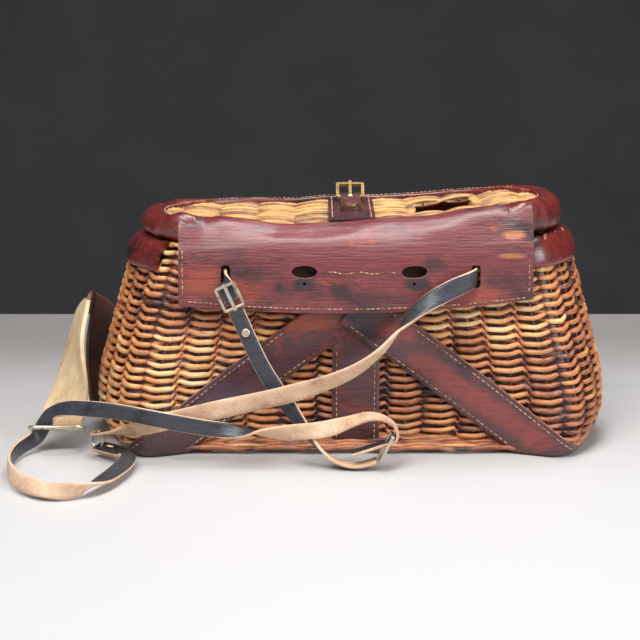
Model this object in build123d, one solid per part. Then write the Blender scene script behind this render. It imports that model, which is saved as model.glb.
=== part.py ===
"""Wicker fishing creel with a leather-bound hinged lid and a leather carrying harness.

Millimetres, +Z up. The origin is on the floor under the middle of the basket. +X is to the
right when looking at the hinged back, which faces -Y; the rounded front faces +Y.
"""

from build123d import *
import math
import os

# ---------------------------------------------------------------- basket, driving sizes
WALL = 11.0  # thickness of the woven wall
FOOT_H = 9.0  # height of the rolled border that the basket stands on
RIM_Z = 157.0  # top of the woven wall
WIDEST_Y = -5.0  # where the plan outline is widest
BACK_CORNER_R = 17.0
BASE_T = 7.0
GAP = 0.3  # clearance between pieces that lie against each other

# Plan outline at each height: half width, place of the back corner, hollow of the back, front
FOOT_HALF, FOOT_CORNER_X, FOOT_CORNER_Y, FOOT_HOLLOW_Y, FOOT_FRONT_Y = 184.0, 158.0, -98.0, -61.0, 91.0
BULGE_Z = 32.0
BULGE_HALF, BULGE_CORNER_X, BULGE_CORNER_Y, BULGE_HOLLOW_Y, BULGE_FRONT_Y = 199.0, 165.0, -101.0, -64.0, 101.0
UPPER_Z = 76.0
UPPER_HALF, UPPER_CORNER_X, UPPER_CORNER_Y, UPPER_HOLLOW_Y, UPPER_FRONT_Y = 191.0, 157.0, -93.0, -68.0, 96.0
NECK_Z = 116.0
NECK_HALF, NECK_CORNER_X, NECK_CORNER_Y, NECK_HOLLOW_Y, NECK_FRONT_Y = 180.0, 148.0, -83.0, -71.0, 87.0
RIM_HALF, RIM_CORNER_X, RIM_CORNER_Y, RIM_HOLLOW_Y, RIM_FRONT_Y = 164.0, 138.0, -74.0, -72.5, 75.0

# ---------------------------------------------------------------- leather on the basket
LEATHER = 2.5
BAND_WIDTH = 34.0
BAND_FOOT_LEFT_X = -152.0
BAND_FOOT_RIGHT_X = 150.0
BAND_TOP_Z = 112.0
BAND_LOW_Z = 1.0  # the bands turn under the basket here
CENTRE_STRAP_WIDTH = 36.0
CENTRE_STRAP_X = 3.0
CENTRE_STRAP_TOP_Z = 104.0

ROLL_DROP = 18.0  # how far the rim roll reaches down over the wall
ROLL_PAD = 2.6  # leather and padding outside the wall
ROLL_TOP = 3.0  # leather and padding above the wall
ROLL_FILLET = 4.5
ROLL_END_X = 139.0  # the roll stops here on the back, where the hinge leather begins

# ---------------------------------------------------------------- hinge leather
SEAM_GAP = 0.6  # between basket leather and lid leather, where they fold
SEAM_Z = RIM_Z + ROLL_TOP + 0.25
PANEL_LEFT_X = -129.0
PANEL_RIGHT_X = 134.0
PANEL_LEFT_Z, PANEL_MIDDLE_Z, PANEL_RIGHT_Z = 115.0, 108.5, 118.0  # its hanging lower edge
PANEL_LOW_Y = -82.0  # inner face at PANEL_LOW_Z
PANEL_LOW_Z = 110.0
PANEL_TOP_Y = -76.1  # inner face at the seam
SLOT_W, SLOT_H, SLOT_Z = 7.0, 17.0, 135.5
SLOT_LEFT_X, SLOT_RIGHT_X = -94.0, 91.5
OVAL_W, OVAL_H, OVAL_Z = 19.0, 9.5, 139.0
OVAL_LEFT_X, OVAL_RIGHT_X = -35.5, 46.0
LACE_HOLE_R, LACE_HOLE_Z = 1.2, 130.0

# ---------------------------------------------------------------- lid
LID_Z = SEAM_Z + 0.15  # underside of the lid
LID_HALF, LID_CORNER_X, LID_CORNER_Y, LID_BACK_Y, LID_FRONT_Y = 161.0, 134.0, -74.6, -75.2, 73.0
LID_CORNER_R = 15.0
LID_ROLL_H = 19.5  # height of the padded roll round the lid
LID_ROLL_W = 21.0
LID_ROLL_FILLET = 8.0
LID_ROLL_LOW_FILLET = 5.0
LID_ROLL_END_X = 134.6
PANEL_LIFT = 4.0  # the woven lid panel lies this far above the roll's underside
LID_WEAVE_T = 9.0
LID_EDGE_R = 5.0  # the woven panel is rounded over where the hinge leather crosses it
LID_TUCK = 10.0  # how far the woven panel stops inside the lid's outline
HOLE_X, HOLE_Y, HOLE_W, HOLE_L = 72.0, 6.0, 41.0, 52.0  # the hole that fish go in by
LID_BAND_WIDTH = 35.0
LID_BAND_T = 2.0
FLAP_FRONT_Y = -60.0  # edge of the hinge leather on top of the lid

# ---------------------------------------------------------------- closing strap on the front
CLOSING_W = 16.0
CLOSING_L = 96.0
CLOSING_TOP_Z = 134.0
ANCHOR_W, ANCHOR_LOW_Z, ANCHOR_HIGH_Z = 26.0, 124.0, 150.0
CLOSING_LEAN = 13.5  # degrees from upright, resting on the bulge

# ---------------------------------------------------------------- buckles
BAR_R = 1.2
STOCK = 2.2  # thickness of the buckle frames
STOCK_W = 2.6
LID_BUCKLE_W = CLOSING_W + 2 * STOCK_W + 1.4  # the closing strap passes through
LID_BUCKLE_L = 20.0
LID_BUCKLE_Y = 26.0
LID_BUCKLE_TILT = 22.0
CHAPE_W = LID_BUCKLE_W - 2 * STOCK_W - 1.4
CHAPE_T = 1.8
CHAPE_NEAR_Y = -26.0
EYELET_Y = -18.0
EYELET_R = 3.0
TONGUE_W = 2.4

# ---------------------------------------------------------------- harness
STRAP_W = 14.0
STRAP_LEFT_W = 12.0
FOLD_T = 1.8  # thickness of the strap where it is folded round a bar
HARNESS_BUCKLE_W, HARNESS_STOCK_W = 17.0, 2.0
UPPER_BUCKLE_L, LOWER_BUCKLE_L = 18.0, 20.0
UPPER_BAR = (-86.9, -92.4, 113.8)  # middle of the bar that the left strap is folded round
UPPER_LIE = (-0.415, 0, 0.91)  # the way that the frame points
LOWER_BAR = (20.0, -126.5, 8.2)
LOWER_LIE = (0.45, 0, 0.89)
STRAP_T = 2.5
PAD_T = 3.2
RIVET_R, RIVET_HEAD_H = 3.2, 1.4
PAD_CLEAR = 60.0

GRAIN_OUT = (0, -1, 0)  # grain side towards the back of the creel
GRAIN_IN = (0, 1, -0.117)  # towards the basket, square to the leaning hinge leather
GRAIN_UP = (0, 0, 1)
GRAIN_LEFT = (-1, 0, 0)
GRAIN_RIGHT = (1, 0, 0)

# Routes of the straps: x, y, z of the middle of the strap, and where its grain side faces
# The carrying strap: in at the left slot, behind the hinge leather, out at the right slot
STRAP_CARRY = [
    ((-89.2, -90.2, 118.6), GRAIN_OUT, 11.0),
    ((-92.0, -89.6, 124.5), GRAIN_OUT, 11.0),
    ((-94.0, -87.8, 130.5), (-0.25, -0.97, 0), 11.0),
    ((-94.0, -84.0, 135.0), GRAIN_LEFT, 12.0),
    ((-93.8, -79.6, 135.5), (-1, 0.2, 0), 12.0),
    ((-91.5, -77.0, 135.5), (-0.3, 0.95, -0.1)),
    ((-82.0, -76.8, 135.5), GRAIN_IN),
    ((-58.0, -76.6, 135.5), GRAIN_IN),
    ((-22.0, -76.1, 135.5), GRAIN_IN),
    ((24.0, -76.2, 135.5), GRAIN_IN),
    ((60.0, -76.6, 135.5), GRAIN_IN),
    ((80.0, -76.8, 135.5), GRAIN_IN),
    ((91.0, -77.2, 135.5), (0.6, 0.8, -0.09)),
    ((92.0, -84.5, 135.3), GRAIN_RIGHT),
    ((86.0, -91.5, 133.5), (0.6, -0.8, 0)),
    ((71.5, -94.5, 127.5), (0.1, -0.9, 0.2)),
    ((50.5, -96.5, 115.7), (-0.2, -0.6, 0.7)),
    ((33.5, -98.5, 97.5), (-0.3, 0.2, 0.9)),
    ((19.6, -101.0, 80.5), (-0.3, 0.5, 0.8)),
    ((-4.0, -105.0, 65.0), (-0.1, 0.8, 0.6)),
    ((-44.0, -111.5, 53.0), (0, 1, 0.2)),
    ((-92.0, -114.5, 43.5), (0, 1, 0.1)),
    ((-132.0, -113.5, 34.0), (0, 1, 0.2)),
    ((-160.0, -111.0, 26.0), (0.2, 0.8, 0.5)),
    ((-179.0, -101.5, 20.0), (0, 0.3, 0.9)),
    ((-191.0, -90.5, 17.5), GRAIN_UP),
]
# The strap from the upper buckle down to the lower buckle
STRAP_LEFT = [
    ((-86.0, -92.4, 111.6), GRAIN_OUT),
    ((-81.5, -93.8, 101.5), GRAIN_OUT),
    ((-76.0, -95.5, 89.5), GRAIN_OUT),
    ((-68.5, -98.0, 73.5), GRAIN_OUT),
    ((-59.5, -100.5, 58.5), GRAIN_OUT),
    ((-49.0, -104.0, 44.5), (-0.2, -1, 0)),
    ((-38.0, -110.0, 30.0), (-0.5, -0.8, -0.2)),
    ((-27.5, -117.5, 16.0), (-0.8, -0.3, -0.6)),
    ((-14.0, -124.0, 5.5), (-0.4, -0.1, -0.9)),
    ((-1.0, -126.5, 2.6), (0, 0, -1)),
    ((10.0, -126.5, 3.6), (0.2, 0, -1)),
    ((17.6, -126.5, 6.9), (0.5, 0, -0.9)),
]
# The long strap: its tail, up round the lower buckle, along the front, through the loop and back
STRAP_LONG = [
    ((-1.0, -126.5, 12.0), (-0.3, 0, 1)),
    ((11.0, -126.5, 15.5), (-0.3, 0, 1)),
    ((22.0, -126.5, 19.5), (-0.4, 0, 0.9)),
    ((31.3, -126.3, 21.5), (-0.8, 0, 0.6)),
    ((33.3, -126.0, 28.5), (-1, 0, 0.1)),
    ((27.5, -125.5, 37.0), (-0.7, 0, -0.7)),
    ((13.0, -124.5, 40.5), (0.1, 0.2, -1)),
    ((-2.0, -123.5, 35.0), (0.4, 0.5, -0.8)),
    ((-19.0, -122.5, 29.0), (0.2, 0.9, -0.3)),
    ((-44.0, -121.5, 26.5), (0, 1, 0.1)),
    ((-66.0, -121.0, 26.0), (0, 0.6, 0.8)),
    ((-84.0, -120.5, 26.5), (0, -0.6, 0.8)),
    ((-108.0, -120.5, 29.5), GRAIN_OUT),
    ((-142.0, -120.5, 36.0), GRAIN_OUT),
    ((-172.0, -114.0, 40.5), GRAIN_OUT),
    ((-198.0, -102.0, 39.5), (-0.2, -0.9, 0.3)),
    ((-214.0, -91.5, 37.0), (-0.1, -0.8, 0.6)),
    ((-225.0, -82.0, 32.0), (-0.1, -0.7, 0.7)),
    ((-232.5, -78.9, 21.5), (-0.1, -0.98, 0.1)),
    ((-237.5, -79.4, 11.5), (0.3, -0.9, 0.1)),
    ((-245.5, -90.0, 8.6), (0.85, -0.5, 0)),
    ((-251.0, -112.0, 8.2), GRAIN_RIGHT),
    ((-250.0, -147.0, 8.0), GRAIN_RIGHT),
    ((-238.0, -182.0, 7.8), (0.7, 0.6, -0.3)),
    ((-214.0, -203.0, 6.5), (0.3, 0.6, -0.8)),
    ((-190.0, -202.0, 6.5), (0.4, -0.4, -0.8)),
    ((-175.5, -177.0, 7.6), (0.9, -0.3, -0.3)),
    ((-166.5, -148.0, 8.4), (1, -0.3, 0)),
    ((-163.5, -124.0, 9.0), (0.9, 0.2, 0.4)),
    ((-171.0, -108.5, 8.0), (0.4, 0.4, 0.8)),
    ((-191.0, -90.5, 7.5), GRAIN_UP),
]
# The shoulder pad: its two edges, from its end in the loop to its far end
PAD_EDGES = [
    ((-239.0, -71.5, 17.8), (-206.0, -71.9, 17.8)),
    ((-234.0, -57.0, 30.0), (-200.0, -67.0, 35.0)),
    ((-229.0, -28.0, 42.5), (-202.5, -63.0, 58.0)),
    ((-224.5, -6.0, 60.5), (-205.7, -56.0, 74.0)),
    ((-220.0, 8.0, 78.4), (-205.6, -46.0, 87.0)),
    ((-217.0, 18.0, 92.0), (-203.5, -36.0, 99.0)),
    ((-207.0, 32.0, 100.0), (-202.0, -24.0, 113.0)),
    ((-194.0, 44.0, 91.0), (-199.0, -13.0, 108.0)),
    ((-185.5, 54.0, 72.0), (-205.0, 2.0, 87.0)),
    ((-185.0, 65.0, 48.0), (-211.0, 16.0, 60.0)),
    ((-184.0, 72.0, 24.0), (-211.0, 22.0, 30.0)),
    ((-183.0, 78.0, 1.2), (-209.0, 28.0, 1.2)),
]
LOOP_W, LOOP_H, LOOP_WIRE_R = 41.0, 12.0, 1.6
LOOP_PLACE = (-223.0, -78.3, 18.0)
LOOP_TILT = -20.0
LOOP_FOLD_W = 26.0  # the pad is sewn round the loop over this width
RING_R, RING_WIRE_R = 6.5, 1.2
RING_PLACE = (-191.4, -90.1, 12.5)
RING_FACING = (0.676, 0.737, 0)  # across the flat of the ring, which joins two strap ends

nodes = {}


# ---------------------------------------------------------------- shared shapes
class Level:
    """The basket's plan outline at one height."""

    def __init__(self, z, half, corner_x, corner_y, hollow_y, front_y):
        self.z = z
        self.half = half
        self.corner_x = corner_x
        self.corner_y = corner_y
        self.hollow_y = hollow_y
        self.front_y = front_y

    def outline(self, grow=0.0, corner_r=BACK_CORNER_R):
        """Half an ellipse at the front, an arc at each side and a hollow back, all grown outwards."""
        half = self.half + grow
        corner = (self.corner_x + grow, self.corner_y - grow)
        front = EllipticalCenterArc((0, WIDEST_Y), half, self.front_y + grow - WIDEST_Y,
                                    start_angle=0, arc_size=180)
        left = TangentArc((-half, WIDEST_Y), (-corner[0], corner[1]), tangent=(0, -1))
        back = ThreePointArc((-corner[0], corner[1]), (0, self.hollow_y - grow), corner)
        right = TangentArc((half, WIDEST_Y), corner, tangent=(0, -1))
        face = make_face([front, left, back, right])
        corners = face.vertices().sort_by(Axis.Y)[0:2]
        face = fillet(corners, corner_r + grow)
        return Pos(0, 0, self.z) * face


LEVELS = [
    Level(0, FOOT_HALF, FOOT_CORNER_X, FOOT_CORNER_Y, FOOT_HOLLOW_Y, FOOT_FRONT_Y),
    Level(BULGE_Z, BULGE_HALF, BULGE_CORNER_X, BULGE_CORNER_Y, BULGE_HOLLOW_Y, BULGE_FRONT_Y),
    Level(UPPER_Z, UPPER_HALF, UPPER_CORNER_X, UPPER_CORNER_Y, UPPER_HOLLOW_Y, UPPER_FRONT_Y),
    Level(NECK_Z, NECK_HALF, NECK_CORNER_X, NECK_CORNER_Y, NECK_HOLLOW_Y, NECK_FRONT_Y),
    Level(RIM_Z, RIM_HALF, RIM_CORNER_X, RIM_CORNER_Y, RIM_HOLLOW_Y, RIM_FRONT_Y),
]
NECK, RIM = LEVELS[3], LEVELS[4]
LID_OUTLINE = Level(0, LID_HALF, LID_CORNER_X, LID_CORNER_Y, LID_BACK_Y, LID_FRONT_Y)


def basket_form(grow=0.0):
    """The basket as a solid block, its skin moved outwards by grow."""
    return loft([level.outline(grow) for level in LEVELS])


def slab(low_z, high_z):
    """A wide block between two heights, for cutting slices."""
    return Pos(0, 0, (low_z + high_z) / 2) * Box(900, 900, high_z - low_z)


def skin(inner, outer):
    """A skin round the basket between two distances from its surface."""
    return basket_form(outer) - basket_form(inner)


def ribbon(points_yz, thickness, left_x, right_x, radius):
    """Sheet leather bent round the given points of a YZ profile, from left_x to right_x."""
    path = FilletPolyline(*[(y, z) for y, z in points_yz], radius=radius)
    section = make_face(Wire(path.edges()).offset_2d(thickness / 2, kind=Kind.ARC, side=Side.BOTH, closed=True))
    upright = Plane(origin=(left_x, 0, 0), x_dir=(0, 1, 0), z_dir=(1, 0, 0))
    return extrude(upright * section, right_x - left_x)


def through_back(shape_xz, near_y=-130.0, far_y=-20.0):
    """A shape drawn in X and Z, cut right through the back along Y."""
    plane = Plane(origin=(0, near_y, 0), x_dir=(1, 0, 0), z_dir=(0, -1, 0))
    return extrude(plane * shape_xz, -(far_y - near_y))


def unit(v):
    size = math.sqrt(sum(c * c for c in v))
    return tuple(c / size for c in v)


def strap_sections(route, usual_width):
    """Centres, directions, facings and widths down a route: straight runs joined by tangent arcs."""
    points = [Vector(*stop[0]) for stop in route]
    faces = [Vector(*unit(stop[1])) for stop in route]
    widths = [stop[2] if len(stop) > 2 else usual_width for stop in route]
    out = [(points[0], (points[1] - points[0]).normalized(), faces[0], widths[0])]
    radii = []

    def between(i, j, share):
        return faces[i] * (1 - share) + faces[j] * share, widths[i] * (1 - share) + widths[j] * share

    for i in range(1, len(points) - 1):
        before = points[i] - points[i - 1]
        after = points[i + 1] - points[i]
        u, v = before.normalized(), after.normalized()
        turn = math.radians(u.get_angle(v))
        cut = 0.45 * min(before.length, after.length)
        radius = cut / math.tan(turn / 2)
        radii.append(radius)
        inward = (v - u).normalized()
        middle = points[i] + inward * (radius * (1 / math.cos(turn / 2) - 1))
        out.append((points[i] - u * cut, u, *between(i, i - 1, cut / before.length)))
        out.append((middle, (u + v).normalized(), faces[i], widths[i]))
        out.append((points[i] + v * cut, v, *between(i, i + 1, cut / after.length)))
    out.append((points[-1], (points[-1] - points[-2]).normalized(), faces[-1], widths[-1]))
    return out, radii


def across_and_out(along, facing):
    across = along.cross(facing).normalized()
    return across, across.cross(along).normalized()


def strap(name, route, usual_width=STRAP_W):
    """A flat strap: rectangles across the route, joined by ruled faces."""
    sections, radii = strap_sections(route, usual_width)
    wires = []
    for centre, along, facing, width in sections:
        across, out = across_and_out(along, facing)
        w, t = across * (width / 2), out * (STRAP_T / 2)
        wires.append(Wire.make_polygon([centre + w + t, centre - w + t, centre - w - t, centre + w - t]))
    solid = Solid.make_loft(wires, ruled=True)
    length = sum((b[0] - a[0]).length for a, b in zip(sections, sections[1:]))
    print(f"{name}: length {length:.0f}, volume over section x length "
          f"{solid.volume / (usual_width * STRAP_T * length):.3f}, radii {min(radii):.1f} to {max(radii):.0f}")
    return solid


def run_plane(route, first):
    """On the grain side of a strap, in the middle of its run that starts at the given point."""
    a, b = Vector(*route[first][0]), Vector(*route[first + 1][0])
    facing = (Vector(*unit(route[first][1])) + Vector(*unit(route[first + 1][1]))) * 0.5
    across, out = across_and_out((b - a).normalized(), facing)
    return Plane(origin=(a + b) * 0.5 + out * (STRAP_T / 2 + GAP), x_dir=across, z_dir=out)


# ---------------------------------------------------------------- basket
def woven_wall():
    return (basket_form() - basket_form(-WALL)) & slab(FOOT_H, RIM_Z)


def foot_border():
    ring = (basket_form() - basket_form(-WALL)) & slab(0, FOOT_H)
    return ring


def woven_base():
    return basket_form(-WALL - GAP) & slab(0, BASE_T)


def rim_binding():
    """A padded leather roll over the rim, open at the back between its two ends."""
    lip = Level(RIM_Z + ROLL_TOP, RIM_HALF, RIM_CORNER_X, RIM_CORNER_Y, RIM_HOLLOW_Y, RIM_FRONT_Y)
    outer = loft([level.outline(ROLL_PAD) for level in (NECK, RIM, lip)])
    inner = loft([level.outline(-WALL - ROLL_PAD) for level in (NECK, RIM, lip)])
    roll = (outer - inner) & slab(RIM_Z - ROLL_DROP, RIM_Z + ROLL_TOP)
    top_edges = roll.edges().filter_by_position(Axis.Z, RIM_Z + ROLL_TOP - 0.01, RIM_Z + ROLL_TOP + 0.01)
    roll = fillet(top_edges, ROLL_FILLET)
    roll -= basket_form(GAP) - basket_form(-WALL - GAP)
    behind = Pos(0, FOOT_CORNER_Y, RIM_Z) * Box(2 * ROLL_END_X, 100, 60)
    return roll - behind


# ---------------------------------------------------------------- leather bands on the back
def band_block(top_x, foot_x, width):
    """A straight band from under the hinge leather down to a back corner, as a cutting block."""
    run = Vector(foot_x - top_x, -BAND_TOP_Z)
    angle = math.degrees(math.atan2(run.Y, run.X))
    shape = Rot(0, 0, angle) * (Pos(run.length * 0.5, 0) * Rectangle(run.length * 1.3, width))
    return through_back(Pos(top_x, BAND_TOP_Z) * shape)


def diagonal_bands(leather_skin):
    above_floor = slab(BAND_LOW_Z, BAND_TOP_Z + 6)
    right = leather_skin & band_block(0, BAND_FOOT_RIGHT_X, BAND_WIDTH) & above_floor
    left = leather_skin & band_block(0, BAND_FOOT_LEFT_X, BAND_WIDTH) & above_floor
    left -= band_block(0, BAND_FOOT_RIGHT_X, BAND_WIDTH + 2 * GAP)
    return left.solids().sort_by(SortBy.VOLUME)[-1], right


def centre_strap(leather_skin):
    height = CENTRE_STRAP_TOP_Z - BAND_LOW_Z
    shape = Pos(CENTRE_STRAP_X, BAND_LOW_Z + height / 2) * Rectangle(CENTRE_STRAP_WIDTH, height)
    strap_piece = leather_skin & through_back(shape)
    strap_piece -= band_block(0, BAND_FOOT_RIGHT_X, BAND_WIDTH + 2 * GAP)
    strap_piece -= band_block(0, BAND_FOOT_LEFT_X, BAND_WIDTH + 2 * GAP)
    return strap_piece


# ---------------------------------------------------------------- hinge leather
def panel_inner_y(z):
    share = (z - PANEL_LOW_Z) / (SEAM_Z - PANEL_LOW_Z)
    return PANEL_LOW_Y + share * (PANEL_TOP_Y - PANEL_LOW_Y)


def back_panel():
    """The hinge leather below the fold, with its slots for the harness and its lacing holes."""
    top_z = SEAM_Z - SEAM_GAP / 2
    low_z = PANEL_MIDDLE_Z - 4
    profile = Polyline((panel_inner_y(low_z), low_z), (panel_inner_y(top_z), top_z),
                       (panel_inner_y(top_z) - LEATHER, top_z), (panel_inner_y(low_z) - LEATHER, low_z),
                       close=True)
    upright = Plane(origin=(PANEL_LEFT_X, 0, 0), x_dir=(0, 1, 0), z_dir=(1, 0, 0))
    sheet = extrude(upright * make_face(profile), PANEL_RIGHT_X - PANEL_LEFT_X)
    middle_x = (PANEL_LEFT_X + PANEL_RIGHT_X) / 2
    hem = ThreePointArc((PANEL_LEFT_X, PANEL_LEFT_Z), (middle_x, PANEL_MIDDLE_Z), (PANEL_RIGHT_X, PANEL_RIGHT_Z))
    sides = Polyline((PANEL_RIGHT_X, PANEL_RIGHT_Z), (PANEL_RIGHT_X, RIM_Z + 20),
                     (PANEL_LEFT_X, RIM_Z + 20), (PANEL_LEFT_X, PANEL_LEFT_Z))
    sheet &= through_back(make_face([hem, *sides.edges()]))
    for x in (SLOT_LEFT_X, SLOT_RIGHT_X):
        sheet -= through_back(Pos(x, SLOT_Z) * RectangleRounded(SLOT_W, SLOT_H, SLOT_W * 0.3))
    for x in (OVAL_LEFT_X, OVAL_RIGHT_X):
        sheet -= through_back(Pos(x, OVAL_Z) * Ellipse(OVAL_W / 2, OVAL_H / 2))
        sheet -= through_back(Pos(x, LACE_HOLE_Z) * Circle(LACE_HOLE_R))
    return sheet


def hinge_flap():
    """The hinge leather above the fold: up the lid's back edge and over onto the woven panel."""
    low = SEAM_Z + SEAM_GAP / 2
    top = LID_Z + PANEL_LIFT + LID_WEAVE_T + GAP + LEATHER / 2
    y = PANEL_TOP_Y - LEATHER / 2
    profile = [(y, low + LEATHER / 2), (y, top), (FLAP_FRONT_Y - LEATHER / 2, top)]
    return ribbon(profile, LEATHER, PANEL_LEFT_X, PANEL_RIGHT_X, radius=LID_EDGE_R + GAP + LEATHER / 2)


# ---------------------------------------------------------------- lid
def lid_panel():
    """The woven lid panel with its fish hole."""
    inner = Level(0, LID_HALF - LID_TUCK, LID_CORNER_X - LID_TUCK, LID_CORNER_Y, LID_BACK_Y, LID_FRONT_Y - LID_TUCK)
    panel = extrude(inner.outline(0, LID_CORNER_R), LID_WEAVE_T)
    back_edge = panel.edges().filter_by_position(Axis.Z, LID_WEAVE_T - 0.01, LID_WEAVE_T + 0.01).sort_by(Axis.Y)[0]
    panel = fillet(back_edge, LID_EDGE_R)
    panel -= Pos(HOLE_X, HOLE_Y, -1) * extrude(RectangleRounded(HOLE_W, HOLE_L, 7), LID_WEAVE_T + 2)
    return Pos(0, 0, LID_Z + PANEL_LIFT) * panel


def lid_binding():
    """The padded roll round the lid, grooved for the woven panel and open along the hinge."""
    ring = extrude(LID_OUTLINE.outline(0, LID_CORNER_R), LID_ROLL_H)
    ring -= extrude(LID_OUTLINE.outline(-LID_ROLL_W, LID_ROLL_W + 1.0), LID_ROLL_H)
    top = ring.edges().filter_by_position(Axis.Z, LID_ROLL_H - 0.01, LID_ROLL_H + 0.01)
    ring = fillet(top, LID_ROLL_FILLET)
    low = ring.faces().sort_by(Axis.Z)[0].outer_wire().edges()
    ring = fillet(low, LID_ROLL_LOW_FILLET)
    ring = Pos(0, 0, LID_Z) * ring
    groove = Level(0, LID_HALF - LID_TUCK + GAP, LID_CORNER_X - LID_TUCK + GAP, LID_CORNER_Y - 20,
                   LID_BACK_Y - 20, LID_FRONT_Y - LID_TUCK + GAP)
    groove_face = groove.outline(0, LID_CORNER_R)
    ring -= Pos(0, 0, LID_Z + PANEL_LIFT - GAP) * extrude(groove_face, LID_WEAVE_T + 2 * GAP)
    behind = Pos(0, LID_CORNER_Y, LID_Z) * Box(2 * LID_ROLL_END_X, 70, 80)
    return ring - behind


def lid_centre_band():
    near = FLAP_FRONT_Y + GAP + LEATHER
    far = LID_FRONT_Y - LID_ROLL_W - GAP
    z = LID_Z + PANEL_LIFT + LID_WEAVE_T + GAP
    return Pos(0, (near + far) / 2, z + LID_BAND_T / 2) * Box(LID_BAND_WIDTH, far - near, LID_BAND_T)


CHAPE_FOLD_R = BAR_R + GAP  # leather round the buckle's bar
CHAPE_LOW_Z = LID_Z + PANEL_LIFT + LID_WEAVE_T + GAP + LID_BAND_T + GAP
BUCKLE_Z = CHAPE_LOW_Z + CHAPE_T + CHAPE_FOLD_R


def buckle_chape():
    """Doubled leather that holds the lid buckle: sewn down, folded round the bar, slotted for the tongue."""
    fold = Pos(0, LID_BUCKLE_Y, BUCKLE_Z) * Rot(0, 90, 0) * Cylinder(CHAPE_FOLD_R + CHAPE_T, CHAPE_W)
    length = LID_BUCKLE_Y - CHAPE_NEAR_Y
    near_end = RectangleRounded(CHAPE_W, 2 * length, CHAPE_W * 0.42)
    upper_z = BUCKLE_Z + CHAPE_FOLD_R
    leaf = Pos(0, LID_BUCKLE_Y) * near_end & Pos(0, LID_BUCKLE_Y - length / 2) * Rectangle(CHAPE_W, length)
    block = Pos(0, 0, CHAPE_LOW_Z) * extrude(leaf, upper_z + CHAPE_T - CHAPE_LOW_Z)
    chape = fold + block
    chape -= Pos(0, LID_BUCKLE_Y, BUCKLE_Z) * Rot(0, 90, 0) * Cylinder(CHAPE_FOLD_R, CHAPE_W + 2)
    slot_back = LID_BUCKLE_Y - 10
    slot_front = LID_BUCKLE_Y + CHAPE_FOLD_R + CHAPE_T + 1
    chape -= Pos(0, (slot_back + slot_front) / 2, BUCKLE_Z + 2) * Box(TONGUE_W + 1.6, slot_front - slot_back, 10)
    chape -= Pos(0, EYELET_Y, BUCKLE_Z) * Cylinder(EYELET_R + GAP, 20)
    wedge_y = LID_BUCKLE_Y - CHAPE_FOLD_R - 14
    slope = Polyline((CHAPE_NEAR_Y - 2, CHAPE_LOW_Z + 2 * CHAPE_T), (wedge_y, CHAPE_LOW_Z + 2 * CHAPE_T),
                     (LID_BUCKLE_Y - 6, upper_z + CHAPE_T), (LID_BUCKLE_Y - 6, upper_z + 12),
                     (CHAPE_NEAR_Y - 2, upper_z + 12), close=True)
    side = Plane(origin=(-CHAPE_W, 0, 0), x_dir=(0, 1, 0), z_dir=(1, 0, 0))
    return chape - extrude(side * make_face(slope), 2 * CHAPE_W)


def chape_eyelet():
    height = 2 * CHAPE_T
    body = Cylinder(EYELET_R, height) + Pos(0, 0, height / 2 + 0.4) * Cylinder(EYELET_R + 1.4, 0.8)
    body -= Cylinder(EYELET_R - 1.0, height * 2)
    return Pos(0, EYELET_Y, CHAPE_LOW_Z + CHAPE_T) * body


# ---------------------------------------------------------------- buckles
def buckle_frame(width, length, stock_w=STOCK_W):
    """A frame whose round bar lies along X at the origin and whose far bar lies at +Y."""
    inner_w = width - 2 * stock_w
    outer = Pos(0, length / 2) * RectangleRounded(width, length + stock_w, 2.2)
    hole = Pos(0, length / 2) * Rectangle(inner_w, length - stock_w)
    ring = Pos(0, 0, -STOCK / 2) * extrude(outer - hole, STOCK)
    ring -= Box(inner_w, stock_w * 1.2, STOCK * 2)
    bar = Rot(0, 90, 0) * Cylinder(BAR_R, inner_w + 1.0)
    return ring + bar


def buckle_tongue(length):
    """A tongue: a ring round the bar and an arm that lies on the far bar."""
    ring = Rot(0, 90, 0) * (Cylinder(BAR_R + 1.4, TONGUE_W) - Cylinder(BAR_R + GAP, TONGUE_W))
    low = STOCK / 2 + GAP
    arm_length = length + 2.0 - BAR_R
    arm = Pos(0, BAR_R + arm_length / 2, low + 0.6) * Box(TONGUE_W, arm_length, 1.2)
    arm = fillet(arm.edges().filter_by(Axis.Z).sort_by(Axis.Y)[2:4], TONGUE_W * 0.45)
    root = Pos(0, BAR_R * 0.5 + 0.9, low + 0.6) * Box(TONGUE_W, 2.4, 1.2)
    return (ring + arm + root) - Rot(0, 90, 0) * Cylinder(BAR_R + GAP, TONGUE_W * 2)


def lid_buckle_place():
    return Pos(0, LID_BUCKLE_Y, BUCKLE_Z) * Rot(LID_BUCKLE_TILT, 0, 0)


# ---------------------------------------------------------------- closing strap
def front_y(z):
    """The basket's front surface at x = 0, straight between the outline heights."""
    for low, high in zip(LEVELS, LEVELS[1:]):
        if z <= high.z:
            share = (z - low.z) / (high.z - low.z)
            return low.front_y + share * (high.front_y - low.front_y)
    return RIM_FRONT_Y


def closing_pivot():
    return front_y(CLOSING_TOP_Z) + GAP + LEATHER + GAP + 0.2 + LEATHER / 2 + 1.2


def closing_strap_anchor(leather_skin):
    block = Pos(0, FOOT_FRONT_Y, (ANCHOR_LOW_Z + ANCHOR_HIGH_Z) / 2)
    patch = block * Box(ANCHOR_W, 120, ANCHOR_HIGH_Z - ANCHOR_LOW_Z)
    return leather_skin & patch & slab(ANCHOR_LOW_Z, RIM_Z - ROLL_DROP - GAP)


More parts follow.
